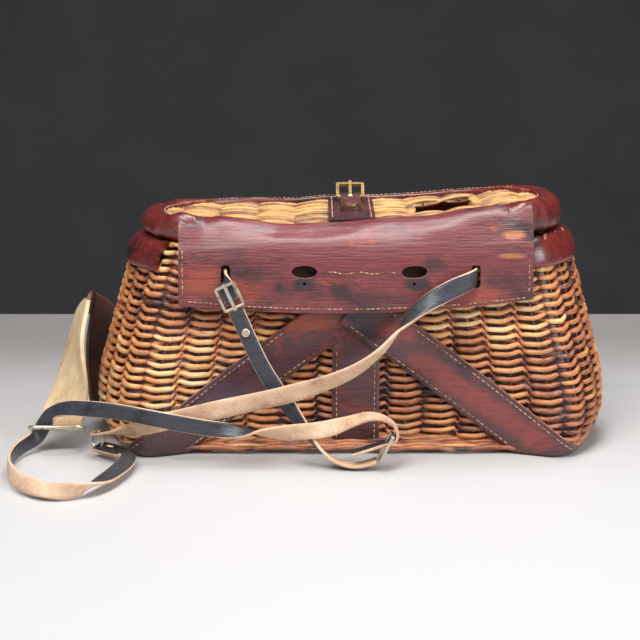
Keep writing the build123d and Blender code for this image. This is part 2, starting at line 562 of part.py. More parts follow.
def closing_strap():
    """The tapered strap that closes the lid, hanging free down the front, with its punched holes."""
    end = CLOSING_L
    outline = Polyline((-CLOSING_W / 2, 0), (CLOSING_W / 2, 0), (CLOSING_W / 2 - 1, end - 12), (0, end),
                       (-CLOSING_W / 2 + 1, end - 12), close=True)
    face = make_face(outline)
    for n in range(4):
        face -= Pos(0, end - 24 - 12 * n) * Circle(1.6)
    hanging = Rot(-90, 0, 0) * (Pos(0, 0, -LEATHER / 2) * extrude(face, LEATHER))
    top = Rot(0, 90, 0) * Cylinder(LEATHER / 2, CLOSING_W)
    place = Pos(0, closing_pivot(), CLOSING_TOP_Z) * Rot(CLOSING_LEAN, 0, 0)
    return place * (hanging + top)


# ---------------------------------------------------------------- harness
def shoulder_pad():
    """A wide leather pad that stands folded against the end of the basket."""
    wires = []
    middles = [(Vector(*a) + Vector(*b)) * 0.5 for a, b in PAD_EDGES]
    for i, (left, right) in enumerate(PAD_EDGES):
        across = (Vector(*right) - Vector(*left)).normalized()
        ahead = middles[min(i + 1, len(middles) - 1)] - middles[max(i - 1, 0)]
        normal = across.cross(ahead.normalized()).normalized() * (PAD_T / 2)
        a, b = Vector(*left), Vector(*right)
        wires.append(Wire.make_polygon([b + normal, a + normal, a - normal, b - normal]))
    pad = Solid.make_loft(wires, ruled=True)
    far_bar = loop_place() * Pos(0, LOOP_H / 2, 0) * Rot(0, 90, 0)
    pad += far_bar * Cylinder(LOOP_WIRE_R + GAP + FOLD_T, LOOP_FOLD_W)
    pad -= far_bar * Cylinder(LOOP_WIRE_R + GAP, PAD_CLEAR)
    return pad.solids().sort_by(SortBy.VOLUME)[-1]


def loop_place():
    return Pos(*LOOP_PLACE) * Rot(LOOP_TILT, 0, 0)


def pad_loop():
    """The flat-sided wire loop that holds the end of the pad and lets the long strap run through."""
    path = Wire(RectangleRounded(LOOP_W, LOOP_H, LOOP_H / 2 - 0.6).edges())
    start = path.edges().sort_by(Axis.Y)[0]
    section = Plane(origin=start @ 0.5, z_dir=start % 0.5) * Circle(LOOP_WIRE_R)
    return loop_place() * sweep(section, path=path)


def ring_place():
    return Location(Plane(origin=RING_PLACE, z_dir=RING_FACING))


def strap_ring():
    """The wire ring that joins the long strap's end to the carrying strap's end."""
    return ring_place() * Torus(RING_R, RING_WIRE_R)


def ring_way():
    return ring_place() * Torus(RING_R, RING_WIRE_R + 0.5)


def rivet(place):
    """A domed rivet head, its top along +Z of its place."""
    head = Pos(0, 0, RIVET_HEAD_H / 2) * Cylinder(RIVET_R, RIVET_HEAD_H)
    head = fillet(head.edges().sort_by(Axis.Z)[-1], RIVET_HEAD_H * 0.6)
    return place * head


def strap_rivets():
    """The rivets that close the folded ends of the straps."""
    places = [run_plane(STRAP_LEFT, 1), run_plane(STRAP_LONG, len(STRAP_LONG) - 2)]
    return Compound(children=[rivet(Location(place)) for place in places])


def frame_plane(bar, lie, out):
    """Where a harness buckle lies: its bar across the strap, its frame pointing along lie."""
    return Plane(origin=bar, x_dir=Vector(*lie).cross(Vector(*out)), z_dir=out)


UPPER_PLANE = frame_plane(UPPER_BAR, UPPER_LIE, GRAIN_OUT)
LOWER_PLANE = frame_plane(LOWER_BAR, LOWER_LIE, (-LOWER_LIE[2], 0, LOWER_LIE[0]))


def fold_round_bar(plane, solid):
    """The end of a strap folded round a buckle's bar, slotted for the tongue."""
    place = Location(plane)
    bar = place * Rot(0, 90, 0)
    outer_r = BAR_R + GAP + FOLD_T
    solid += bar * Cylinder(outer_r, STRAP_LEFT_W)
    solid -= bar * Cylinder(BAR_R + GAP, STRAP_LEFT_W * 2)
    solid -= place * Pos(0, 3 * outer_r - outer_r - 1.0, 0) * Box(TONGUE_W + 1.2, 6 * outer_r, 4 * outer_r)
    return solid


def harness_straps():
    carry = strap("strap_carry", STRAP_CARRY) - ring_way()
    left = strap("strap_left", STRAP_LEFT, STRAP_LEFT_W)
    left = fold_round_bar(UPPER_PLANE, left)
    left = fold_round_bar(LOWER_PLANE, left)
    long = strap("strap_long", STRAP_LONG, STRAP_LEFT_W) - ring_way()
    arm_z = STOCK / 2 + GAP + 0.6
    way = Pos(0, LOWER_BUCKLE_L / 2 + 3, arm_z) * Box(TONGUE_W + 0.8, LOWER_BUCKLE_L, 2.0)
    long -= Location(LOWER_PLANE) * way
    return carry, left, long


# ---------------------------------------------------------------- write the nodes
def build():
    leather_skin = skin(GAP, GAP + LEATHER)
    nodes["woven_wall"] = woven_wall()
    nodes["foot_border"] = foot_border()
    nodes["woven_base"] = woven_base()
    nodes["rim_binding"] = rim_binding()
    left, right = diagonal_bands(leather_skin)
    nodes["diagonal_band_left"] = left
    nodes["diagonal_band_right"] = right
    nodes["centre_band"] = centre_strap(leather_skin)
    nodes["back_panel"] = back_panel()
    nodes["closing_strap_anchor"] = closing_strap_anchor(leather_skin)
    nodes["closing_strap"] = closing_strap()
    nodes["hinge_flap"] = hinge_flap()
    nodes["lid_panel"] = lid_panel()
    nodes["lid_binding"] = lid_binding()
    nodes["lid_centre_band"] = lid_centre_band()
    nodes["buckle_chape"] = buckle_chape()
    nodes["chape_eyelet"] = chape_eyelet()
    nodes["lid_buckle_frame"] = lid_buckle_place() * buckle_frame(LID_BUCKLE_W, LID_BUCKLE_L)
    nodes["lid_buckle_tongue"] = lid_buckle_place() * buckle_tongue(LID_BUCKLE_L)
    nodes["strap_carry"], nodes["strap_left"], nodes["strap_long"] = harness_straps()
    for name, plane, length in (("upper", UPPER_PLANE, UPPER_BUCKLE_L), ("lower", LOWER_PLANE, LOWER_BUCKLE_L)):
        place = Location(plane)
        nodes[f"{name}_buckle_frame"] = place * buckle_frame(HARNESS_BUCKLE_W, length, HARNESS_STOCK_W)
        nodes[f"{name}_buckle_tongue"] = place * buckle_tongue(length)
    nodes["strap_rivets"] = strap_rivets()
    nodes["shoulder_pad"] = shoulder_pad()
    nodes["pad_loop"] = pad_loop()
    nodes["strap_ring"] = strap_ring()


build()
os.makedirs("parts", exist_ok=True)
for name, shape in nodes.items():
    export_step(shape, f"parts/{name}.step")
    print(name, len(shape.solids()), round(shape.volume))
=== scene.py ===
"""Wicker fishing creel: woven willow, padded leather bindings, hinge leather and harness."""

import math
import random

import bpy
import numpy as np
from mathutils import Matrix, Vector, noise
from mathutils.bvhtree import BVHTree


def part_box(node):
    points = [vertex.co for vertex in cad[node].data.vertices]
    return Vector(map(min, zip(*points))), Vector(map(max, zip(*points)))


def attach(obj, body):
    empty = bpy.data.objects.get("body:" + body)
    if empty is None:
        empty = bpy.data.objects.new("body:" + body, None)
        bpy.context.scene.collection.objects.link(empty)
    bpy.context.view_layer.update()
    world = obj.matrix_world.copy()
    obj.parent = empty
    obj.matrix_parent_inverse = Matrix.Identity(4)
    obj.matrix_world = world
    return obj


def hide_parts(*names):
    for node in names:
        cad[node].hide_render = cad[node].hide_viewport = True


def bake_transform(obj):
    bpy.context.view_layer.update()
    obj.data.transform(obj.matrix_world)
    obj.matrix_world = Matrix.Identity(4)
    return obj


MM = 0.001
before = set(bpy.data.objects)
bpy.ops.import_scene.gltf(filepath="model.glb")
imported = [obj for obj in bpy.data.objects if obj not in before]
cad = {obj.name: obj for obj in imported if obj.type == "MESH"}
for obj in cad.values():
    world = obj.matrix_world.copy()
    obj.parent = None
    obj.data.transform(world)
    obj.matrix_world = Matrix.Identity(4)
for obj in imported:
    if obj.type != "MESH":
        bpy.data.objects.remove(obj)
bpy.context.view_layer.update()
rng = random.Random(7)


# ---- camera
ELEVATION = math.radians(12.0)
TARGET = Vector((-0.024, 0.0, 0.085))
DISTANCE = 1.5
HALF_PICTURE, FOCAL_LENGTH = 320, 1900


def make_camera():
    away = Vector((0, -math.cos(ELEVATION), math.sin(ELEVATION)))
    data = bpy.data.cameras.new("camera")
    data.sensor_fit = "HORIZONTAL"
    data.angle = 2 * math.atan(HALF_PICTURE / FOCAL_LENGTH)
    data.clip_start, data.clip_end = 0.05, 30
    camera = bpy.data.objects.new("camera", data)
    camera.location = TARGET + away * DISTANCE
    camera.rotation_euler = (math.pi / 2 - ELEVATION, 0, 0)
    bpy.context.scene.collection.objects.link(camera)
    bpy.context.scene.camera = camera


make_camera()


# ---- materials
def srgb(r, g, b):
    def one(c):
        c /= 255
        return c / 12.92 if c <= 0.04045 else ((c + 0.055) / 1.055) ** 2.4
    return (one(r), one(g), one(b), 1.0)


class Nodes:
    """A material's node tree, built one node at a time."""

    def __init__(self, name):
        self.mat = bpy.data.materials.new(name)
        self.mat.use_nodes = True
        self.tree = self.mat.node_tree
        self.shader = self.tree.nodes["Principled BSDF"]

    def put(self, socket, value):
        """Links an output to a socket, or sets a constant on it."""
        if hasattr(value, "is_output"):
            self.tree.links.new(value, socket)
        else:
            socket.default_value = value

    def add(self, kind, inputs=None, **settings):
        node = self.tree.nodes.new(kind)
        for key, value in settings.items():
            setattr(node, key, value)
        for key, value in (inputs or {}).items():
            self.put(node.inputs[key], value)
        return node

    def calc(self, operation, *values):
        return self.add("ShaderNodeMath", dict(enumerate(values)), operation=operation).outputs[0]

    def coords(self):
        return self.add("ShaderNodeTexCoord").outputs["Object"]

    def place(self, scale=(1, 1, 1), turn=(0, 0, 0)):
        return self.add("ShaderNodeMapping", {"Vector": self.coords(), "Scale": scale,
                                              "Rotation": turn}).outputs[0]

    def noise(self, vector, scale, detail=4.0, rough=0.55, distort=0.0):
        return self.add("ShaderNodeTexNoise", {"Vector": vector, "Scale": scale, "Detail": detail,
                                               "Roughness": rough, "Distortion": distort}).outputs["Fac"]

    def ramp(self, fac, stops):
        node = self.add("ShaderNodeValToRGB", {"Fac": fac})
        ramp = node.color_ramp
        ramp.interpolation = "EASE"
        while len(ramp.elements) > 1:
            ramp.elements.remove(ramp.elements[-1])
        ramp.elements[0].position, ramp.elements[0].color = stops[0]
        for position, colour in stops[1:]:
            ramp.elements.new(position).color = colour
        return node.outputs["Color"]

    def mask(self, fac, low, high, most):
        """0 below low, most above high."""
        return self.ramp(fac, [(low, (0, 0, 0, 1)), (high, (most, most, most, 1))])

    def mix(self, fac, a, b, blend="MIX"):
        node = self.add("ShaderNodeMix", data_type="RGBA", blend_type=blend)
        for socket, value in ((node.inputs["Factor"], fac), (node.inputs[6], a), (node.inputs[7], b)):
            self.put(socket, value)
        return node.outputs[2]

    def span(self, value, low, high, to_low, to_high):
        return self.add("ShaderNodeMapRange", {"Value": value, "From Min": low, "From Max": high,
                                               "To Min": to_low, "To Max": to_high}).outputs[0]

    def finish(self, colour, rough, bumps=(), **fixed):
        """Joins the colour, the roughness and the bumps, given as (height, distance), to the shader."""
        sockets = self.shader.inputs
        self.put(sockets["Base Color"], colour)
        self.put(sockets["Roughness"], rough)
        normal = None
        for height, distance in bumps:
            inputs = {"Height": height, "Distance": distance, "Strength": 1.0}
            if normal is not None:
                inputs["Normal"] = normal
            normal = self.add("ShaderNodeBump", inputs).outputs[0]
        if normal is not None:
            self.put(sockets["Normal"], normal)
        for key, value in fixed.items():
            sockets[key.replace("_", " ")].default_value = value
        return self.mat


def wicker(name, stops, weathered, coat):
    """Varnished willow: a tone of its own for each rod, which also carries painted shade and light from the
    weave, streaks along it, weathered and scuffed places.
    """
    m = Nodes(name)
    tone = m.add("ShaderNodeAttribute", attribute_name="tone").outputs["Fac"]
    streak = m.noise(m.place((0.5, 0.5, 4)), 300.0, 4.0, 0.65)
    patch = m.noise(m.place(), 60.0, 4.0)
    shifted = m.calc("MULTIPLY_ADD", m.calc("SUBTRACT", streak, 0.5), 0.7, tone)
    fac = m.calc("MULTIPLY_ADD", m.calc("SUBTRACT", patch, 0.5), 0.8, shifted)
    grey = m.noise(m.place((1, 1, 1.5), (0.4, 0, 0.2)), 44.0, 6.0, 0.7)
    colour = m.mix(m.mask(grey, 0.52, 0.66, 0.75), m.ramp(fac, stops), weathered)
    scuff = m.noise(m.place((1, 1, 2)), 330.0, 6.0, 0.75)
    colour = m.mix(m.mask(scuff, 0.66, 0.74, 0.8), colour, srgb(238, 208, 168))
    grain = m.noise(m.place(), 700.0, 2.0)
    return m.finish(colour, m.span(streak, 0.3, 0.7, 0.26, 0.5), [(streak, 0.0006), (grain, 0.0003)],
                    Coat_Weight=coat, Coat_Roughness=0.18)


RAGGED = 0.5


def blob(m, centre, size):
    """1 inside a ragged spot round a place of the object, 0 away from it; lengths in millimetres."""
    local = m.add("ShaderNodeMapping", {"Vector": m.coords(), "Scale": [1000 / v for v in size],
                                        "Location": [-c / v for c, v in zip(centre, size)]}).outputs[0]
    length = m.add("ShaderNodeVectorMath", {0: local}, operation="LENGTH").outputs["Value"]
    both = m.calc("MULTIPLY_ADD", m.noise(m.place(), 95.0, 6.0, 0.7), -2 * RAGGED, length)
    return m.span(both, 0.95 - RAGGED, 0.45 - RAGGED, 0.0, 1.0)


def leather(name, dark, mid, worn, wear, patch, rough, coat, crease=0.0, spots=()):
    """Varnished leather: dark and lighter patches, rubbed places, scratches, grain, and fine creases darkened
    with painted shade.
    """
    m = Nodes(name)
    cloud = m.noise(m.place((0.6, 0.8, 1.2)), patch, 7.0, 0.66, 0.5)
    colour = m.ramp(cloud, [(0.34, dark), (0.50, mid), (0.66, mid), (0.80, worn)])
    rubbed = m.noise(m.place((1, 1, 1.3), (0.3, 0.2, 0.1)), patch * 1.7, 8.0, 0.72, 0.4)
    colour = m.mix(m.mask(rubbed, wear - 0.07, wear + 0.09, 0.85), colour, worn)
    for centre, size, tint, strength in spots:
        colour = m.mix(m.calc("MULTIPLY", blob(m, centre, size), strength), colour, tint)
    # painted shade: the fine crease lines darken the colour
    lines = m.noise(m.place((0.20, 1.0, 2.6)), 230.0, 5.0, 0.62)
    shade = m.ramp(lines, [(0.36, (0.45, 0.42, 0.42, 1)), (0.54, (1, 1, 1, 1))])
    colour = m.mix(0.55, colour, shade, "MULTIPLY")
    flecks = m.noise(m.place(), 420.0, 3.0, 0.8)
    colour = m.mix(m.mask(flecks, 0.70, 0.76, 0.6), colour, srgb(186, 110, 84))
    bumps = [(m.noise(m.place(), 1000.0, 2.0), 0.0002), (cloud, 0.0012)]
    if crease:
        bumps.append((lines, crease))
    return m.finish(colour, m.span(rubbed, 0.3, 0.7, *rough), bumps, Coat_Weight=coat, Coat_Roughness=0.28)


def suede(name, low, mid, high, painted_shade=None):
    """The flesh side of harness leather: pale, fibrous, a little soiled; with painted shade where it lies
    behind the hinge leather.
    """
    m = Nodes(name)
    fibres = m.noise(m.place(), 640.0, 4.0, 0.7)
    cloud = m.noise(m.place(), 34.0, 5.0, 0.6)
    both = m.calc("MULTIPLY_ADD", fibres, 0.5, cloud)
    colour = m.ramp(both, [(0.50, low), (0.72, mid), (0.95, high)])
    if painted_shade:
        # painted shade on the flesh side where it lies behind the hinge leather
        place = m.add("ShaderNodeSeparateXYZ", {0: m.coords()})
        behind = m.span(place.outputs[1], -0.0865, -0.0815, 0.0, 1.0)
        above = m.span(place.outputs[2], 0.110, 0.122, 0.0, 1.0)
        colour = m.mix(m.calc("MULTIPLY", behind, above), colour, painted_shade)
    return m.finish(colour, 0.85, [(fibres, 0.0004)])


def metal(name, clean, tarnish, amount, rough):
    """Old metal with tarnished clouds."""
    m = Nodes(name)
    cloud = m.noise(m.place(), 170.0, 6.0, 0.65)
    colour = m.ramp(cloud, [(amount - 0.12, clean), (amount + 0.12, tarnish)])
    return m.finish(colour, m.span(cloud, 0.3, 0.7, *rough), [(cloud, 0.0002)], Metallic=0.9)


def plain_thread(name, pale, dark):
    """Waxed thread, soiled in places."""
    m = Nodes(name)
    colour = m.ramp(m.noise(m.place(), 150.0, 4.0), [(0.38, dark), (0.56, pale)])
    return m.finish(colour, 0.75, [(m.noise(m.place(), 1500.0, 2.0), 0.0002)])


WALL_STOPS = [(0.00, srgb(66, 34, 26)), (0.14, srgb(134, 72, 50)), (0.32, srgb(184, 112, 68)),
              (0.60, srgb(212, 144, 88)), (0.78, srgb(232, 176, 112)), (0.97, srgb(244, 206, 152))]
LID_STOPS = [(0.05, srgb(74, 42, 30)), (0.28, srgb(138, 88, 50)), (0.48, srgb(198, 142, 72)),
             (0.90, srgb(232, 184, 106))]
wall_wicker = wicker("wall_wicker", WALL_STOPS, srgb(170, 122, 104), 0.35)
lid_wicker = wicker("lid_wicker", LID_STOPS, srgb(150, 116, 92), 0.12)
ORANGE, STAIN, TAN = srgb(176, 74, 40), srgb(34, 24, 30), srgb(196, 122, 78)
HINGE_SPOTS = [((-111, -80, 132), (22, 20, 16), ORANGE, 0.5), ((-78, -80, 125), (24, 20, 12), ORANGE, 0.4),
               ((-36, -80, 129.5), (11, 20, 6.5), STAIN, 0.9), ((49, -80, 130), (14, 20, 8), STAIN, 0.9),
               ((120, -80, 166), (11, 20, 4.4), TAN, 0.8), ((118, -80, 151), (14, 20, 3.0), TAN, 0.6),
               ((62, -80, 145), (14, 20, 8), STAIN, 0.6), ((-118, -80, 175), (16, 20, 6), STAIN, 0.7),
               ((20, -80, 117), (40, 20, 9), STAIN, 0.5), ((100, -80, 122), (24, 20, 8), ORANGE, 0.4)]
RED = srgb(142, 62, 56)
BAND_SPOTS = [((-34, -70, 99), (34, 60, 9), ORANGE, 0.8), ((36, -70, 92), (20, 60, 12), RED, 0.7)] + \
             [((x, -85, 103 - 0.655 * x), (17, 60, 10), RED, 0.7) for x in range(52, 150, 11)] + \
             [((-95, -85, 40), (30, 60, 20), srgb(84, 68, 80), 0.7)]
hinge_leather = leather("hinge_leather", srgb(54, 24, 31), srgb(116, 46, 50), srgb(166, 70, 52), 0.62, 19.0,
                        (0.26, 0.44), 0.5, 0.0010, HINGE_SPOTS)
band_leather = leather("band_leather", srgb(44, 32, 40), srgb(84, 50, 54), srgb(140, 60, 50), 0.60, 22.0,
                       (0.28, 0.46), 0.35, 0.0002, BAND_SPOTS)
roll_leather = leather("roll_leather", srgb(52, 20, 22), srgb(112, 38, 34), srgb(160, 62, 42), 0.62, 30.0,
                       (0.18, 0.36), 0.6, 0.0003)
raw_edge = leather("raw_edge", srgb(92, 62, 50), srgb(150, 110, 86), srgb(200, 160, 130), 0.58, 60.0,
                   (0.7, 0.9), 0.0)
black_leather = leather("black_leather", srgb(34, 35, 40), srgb(56, 58, 66), srgb(110, 86, 70), 0.72, 40.0,
                        (0.30, 0.5), 0.2, 0.0003)
brown_leather = leather("brown_leather", srgb(66, 34, 26), srgb(104, 58, 40), srgb(140, 92, 64), 0.64, 24.0,
                        (0.5, 0.7), 0.05, 0.0004)
# the last colour is painted shade behind the hinge leather
flesh_leather = suede("flesh_leather", srgb(162, 124, 98), srgb(204, 168, 138), srgb(228, 198, 170),
                      srgb(58, 32, 22))
pad_flesh = suede("pad_flesh", srgb(164, 130, 92), srgb(202, 174, 134), srgb(222, 202, 168))
thread = plain_thread("thread", srgb(196, 160, 118), srgb(120, 84, 56))
brass = metal("old_brass", srgb(214, 178, 112), srgb(120, 92, 58), 0.62, (0.28, 0.5))
nickel = metal("dull_nickel", srgb(206, 196, 178), srgb(150, 128, 100), 0.60, (0.3, 0.5))
copper = metal("rivet_copper", srgb(222, 206, 180), srgb(150, 110, 80), 0.62, (0.3, 0.5))


# ---- meshes
def make_object(name, verts, faces, materials, face_materials=None, tones=None, smooth=True):
    mesh = bpy.data.meshes.new(name)
    mesh.from_pydata([tuple(v) for v in verts], [], [tuple(f) for f in faces])
    for material in materials:
        mesh.materials.append(material)
    if face_materials is not None:
        mesh.polygons.foreach_set("material_index", face_materials)
    if tones is not None:
        attribute = mesh.attributes.new("tone", "FLOAT", "POINT")
        attribute.data.foreach_set("value", np.asarray(tones, np.float32))
    mesh.polygons.foreach_set("use_smooth", [smooth] * len(mesh.polygons))
    mesh.update()
    obj = bpy.data.objects.new(name, mesh)
    bpy.context.scene.collection.objects.link(obj)
    return obj


def settle(obj, *modifiers):
    """Adds modifiers, given as (kind, settings), and bakes their result into the mesh."""
    for kind, settings in modifiers:
        modifier = obj.modifiers.new(kind.lower(), kind)
        for key, value in settings.items():
            setattr(modifier, key, value)
    bpy.context.view_layer.update()
    graph = bpy.context.evaluated_depsgraph_get()
    mesh = bpy.data.meshes.new_from_object(obj.evaluated_get(graph))
    obj.modifiers.clear()
    old = obj.data
    obj.data = mesh
    mesh.name = old.name
    bpy.data.meshes.remove(old)
    return obj


def shade_smooth(obj):
    obj.data.polygons.foreach_set("use_smooth", [True] * len(obj.data.polygons))


# thickens a sheet inwards; its cut edges get the second material
THICKENED = ("SOLIDIFY", {"thickness": 0.0024, "offset": -1.0, "use_rim": True, "material_offset_rim": 1})


def eased(width):
    """Takes the sharpness off cut edges."""
    return ("BEVEL", {"width": width, "segments": 2, "limit_method": "ANGLE",
                      "angle_limit": math.radians(50)})


def dress(obj, body, slot, *nodes):
    """The piece rides on a body and stands for nodes of the solids; the slot is not used."""
    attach(obj, body)
    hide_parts(*nodes)


class Rods:
    """Round rods collected into one mesh."""

    def __init__(self, sides=7):
        self.sides = sides
        self.verts, self.faces, self.tones = [], [], []
        self.count = 0

    def add(self, centres, radii, tones, up, closed=False):
        centres = np.asarray(centres, float)
        n = len(centres)
        if closed:
            tangent = np.roll(centres, -1, 0) - np.roll(centres, 1, 0)
        else:
            tangent = np.gradient(centres, axis=0)
        tangent /= np.linalg.norm(tangent, axis=1, keepdims=True) + 1e-12
        up = np.broadcast_to(np.asarray(up, float), centres.shape)
        side = np.cross(tangent, up)
        side /= np.linalg.norm(side, axis=1, keepdims=True) + 1e-12
        top = np.cross(side, tangent)
        angles = np.arange(self.sides) * 2 * math.pi / self.sides
        radii = np.broadcast_to(np.asarray(radii, float), (n,))
        ring = (centres[:, None, :]
                + radii[:, None, None] * (np.cos(angles)[None, :, None] * side[:, None, :]
                                          + np.sin(angles)[None, :, None] * top[:, None, :]))
        self.verts.append(ring.reshape(-1, 3))
        self.tones.append(np.repeat(np.broadcast_to(np.asarray(tones, float), (n,)), self.sides))
        last = n if closed else n - 1
        i = np.arange(last)[:, None]
        j = np.arange(self.sides)[None, :]
        a = i * self.sides + j
        b = i * self.sides + (j + 1) % self.sides
        c = ((i + 1) % n) * self.sides + (j + 1) % self.sides
        d = ((i + 1) % n) * self.sides + j
        quads = np.stack([a, b, c, d], -1).reshape(-1, 4) + self.count
        self.faces.extend(quads.tolist())
        if not closed:
            self.faces.append([self.count + k for k in range(self.sides)][::-1])
            self.faces.append([self.count + (n - 1) * self.sides + k for k in range(self.sides)])
        self.count += n * self.sides

    def strip(self, low, high, tone):
        """A closed band of surface between two rings, deep in the weave."""
        n = len(low)
        self.verts += [low, high]
        self.tones.append(np.full(2 * n, tone))
        i = np.arange(n)
        j = (i + 1) % n
        self.faces.extend((np.stack([i, j, j + n, i + n], -1) + self.count).tolist())
        self.count += 2 * n

    def build(self, name, material):
        return make_object(name, np.concatenate(self.verts), self.faces, [material],
                           tones=np.concatenate(self.tones))


def distances(line):
    """How far along a line each of its points lies."""
    return np.concatenate([[0], np.cumsum(np.linalg.norm(np.diff(line, axis=0), axis=1))])


def points_at(line, stops):
    """Points of a line at distances from its start."""
    far = distances(line)
    return np.stack([np.interp(stops, far, line[:, k]) for k in range(line.shape[1])], -1)


def smooth_line(points, per_span):
    """Points along the NURBS line through the middle of a route."""
    data = bpy.data.curves.new("route", "CURVE")
    data.dimensions = "3D"
    data.resolution_u = per_span
    spline = data.splines.new("NURBS")
    spline.points.add(len(points) - 1)
    for point, place in zip(spline.points, points):
        point.co = (*place, 1.0)
    spline.order_u = 3
    spline.use_endpoint_u = True
    curve = bpy.data.objects.new("route", data)
    bpy.context.scene.collection.objects.link(curve)
    bpy.context.view_layer.update()
    line = bpy.data.meshes.new_from_object(curve)
    out = [v.co.copy() for v in line.vertices]
    bpy.data.objects.remove(curve)
    bpy.data.meshes.remove(line)
    return out


def tree_of(*names):
    verts, polys = [], []
    for name in names:
        start = len(verts)
        mesh = cad[name].data
        verts += [v.co.copy() for v in mesh.vertices]
        polys += [[start + k for k in p.vertices] for p in mesh.polygons]
    return BVHTree.FromPolygons(verts, polys)


wall_tree = tree_of("woven_wall", "foot_border")


def back_y(x, z):
    """The basket's surface on its hinged back, in metres."""
    z = min(max(z, 0.0006), 0.1562)
    hit = wall_tree.ray_cast(Vector((x, -0.3, z)), Vector((0, 1, 0)))[0]
    return hit.y if hit else -0.05


# ---- the basket's surface, sampled
LEVEL_STEP = 0.004
LEVELS = [0.0006 + i * LEVEL_STEP for i in range(39)]
AROUND = 456


def wall_level(z):
    """Points round the basket at one height, evenly spaced from the middle of the front."""
    centre = Vector((0, 0.01, z))
    ring = []
    for i in range(721):
        angle = math.pi / 2 + 2 * math.pi * i / 720
        out = Vector((math.cos(angle), math.sin(angle), 0))
        ring.append(wall_tree.ray_cast(centre + out * 0.5, -out)[0])
    ring = np.array([tuple(p) for p in ring])
    return points_at(ring, np.arange(AROUND) / AROUND * distances(ring)[-1])


SURFACE = np.array([wall_level(z) for z in LEVELS])
ALONG = np.roll(SURFACE, -1, 1) - np.roll(SURFACE, 1, 1)
OUTWARD = np.stack([ALONG[..., 1], -ALONG[..., 0], np.zeros(ALONG.shape[:2])], -1)
OUTWARD /= np.linalg.norm(OUTWARD, axis=-1, keepdims=True)


def on_wall(share, z, depth):
    """Points at shares of the way round, at heights z, depth inside the surface."""
    share = np.asarray(share, float) % 1.0
    z, depth = (np.broadcast_to(np.asarray(v, float), share.shape) for v in (z, depth))
    u = share * AROUND
    u0 = np.floor(u).astype(int) % AROUND
    u1 = (u0 + 1) % AROUND
    fu = (u - np.floor(u))[:, None]
    v = np.clip((z - LEVELS[0]) / LEVEL_STEP, 0, len(LEVELS) - 1.001)
    v0 = np.floor(v).astype(int)
    fv = (v - v0)[:, None]

    def blend(table):
        low = table[v0, u0] * (1 - fu) + table[v0, u1] * fu
        high = table[v0 + 1, u0] * (1 - fu) + table[v0 + 1, u1] * fu
        return low * (1 - fv) + high * fv

    points = blend(SURFACE)
    points[:, 2] = z
    return points - blend(OUTWARD) * depth[:, None]


# ---- old age: the top leans and sags
def smooth_step(low, high, value):
    t = np.clip((value - low) / (high - low), 0, 1)
    return t * t * (3 - 2 * t)


NEAR_X = [-0.17, -0.128, -0.119, -0.1106, -0.0986, -0.0835, -0.070, -0.057, -0.030, -0.0097, 0.006, 0.0317,
          0.058, 0.085, 0.112, 0.1267, 0.17]
LEAN_NEAR = [3.0, 5.5, 4.0, 0.4, 1.4, -1.4, -3.7, -6.0, -6.1, -4.6, -3.0, -1.6, 3.2, 6.4, 7.4, 12.5, 10.0]
FAR_X = [-0.17, -0.153, -0.118, -0.074, -0.045, -0.019, 0.022, 0.054, 0.080, 0.1025, 0.125, 0.145, 0.17]
LEAN_FAR = [-1.5, -1.5, -0.7, -1.5, -3.0, -0.7, -0.5, 1.8, 5.2, 7.7, 11.0, 10.6, 9.0]
LEAN_X = [-0.17, -0.129, -0.06, 0.0, 0.06, 0.134, 0.17]
LEAN_SEAM = [-2.0, -1.8, -0.8, 0.0, 1.0, 2.4, 2.8]


def lean(points):
    """The sag of the lid's hinged edge and the rise of its right end, on points in metres."""
    p = np.array(points, float)
    x, y, z = p[:, 0], p[:, 1], p[:, 2]
    seam = np.interp(x, LEAN_X, LEAN_SEAM) * MM
    near = np.interp(x, NEAR_X, LEAN_NEAR) * MM
    far = np.interp(x, FAR_X, LEAN_FAR) * MM
    back = 1 - smooth_step(-0.075, -0.045, y)
    top = near * back + far * (1 - back)
    lid = smooth_step(0.160, 0.174, z)
    low = smooth_step(0.08, 0.155, z)
    p[:, 2] = z + seam * low * (1 - lid) + top * lid
    return p


# ---- woven wall
COLUMNS = 38
SHARE = np.arange(COLUMNS * 12) / (COLUMNS * 12)
STRAND_PITCH = 3.12
STRAND_LOW_Z, STRAND_HIGH_Z = 10.6, 158.8
FRONT_R, CROSS_R = 2.02, 1.45
WALL_MIDDLE, WALL_SWING = 4.6, 2.5
CLIMB = 3.0
CORE = 5.3 * MM


def patch_tone(p):
    """How golden the varnish is at a point: large, soft patches."""
    cloud = noise.noise(Vector((p[0] * 9, p[1] * 9, p[2] * 13))) * 0.55
    return 0.60 + cloud


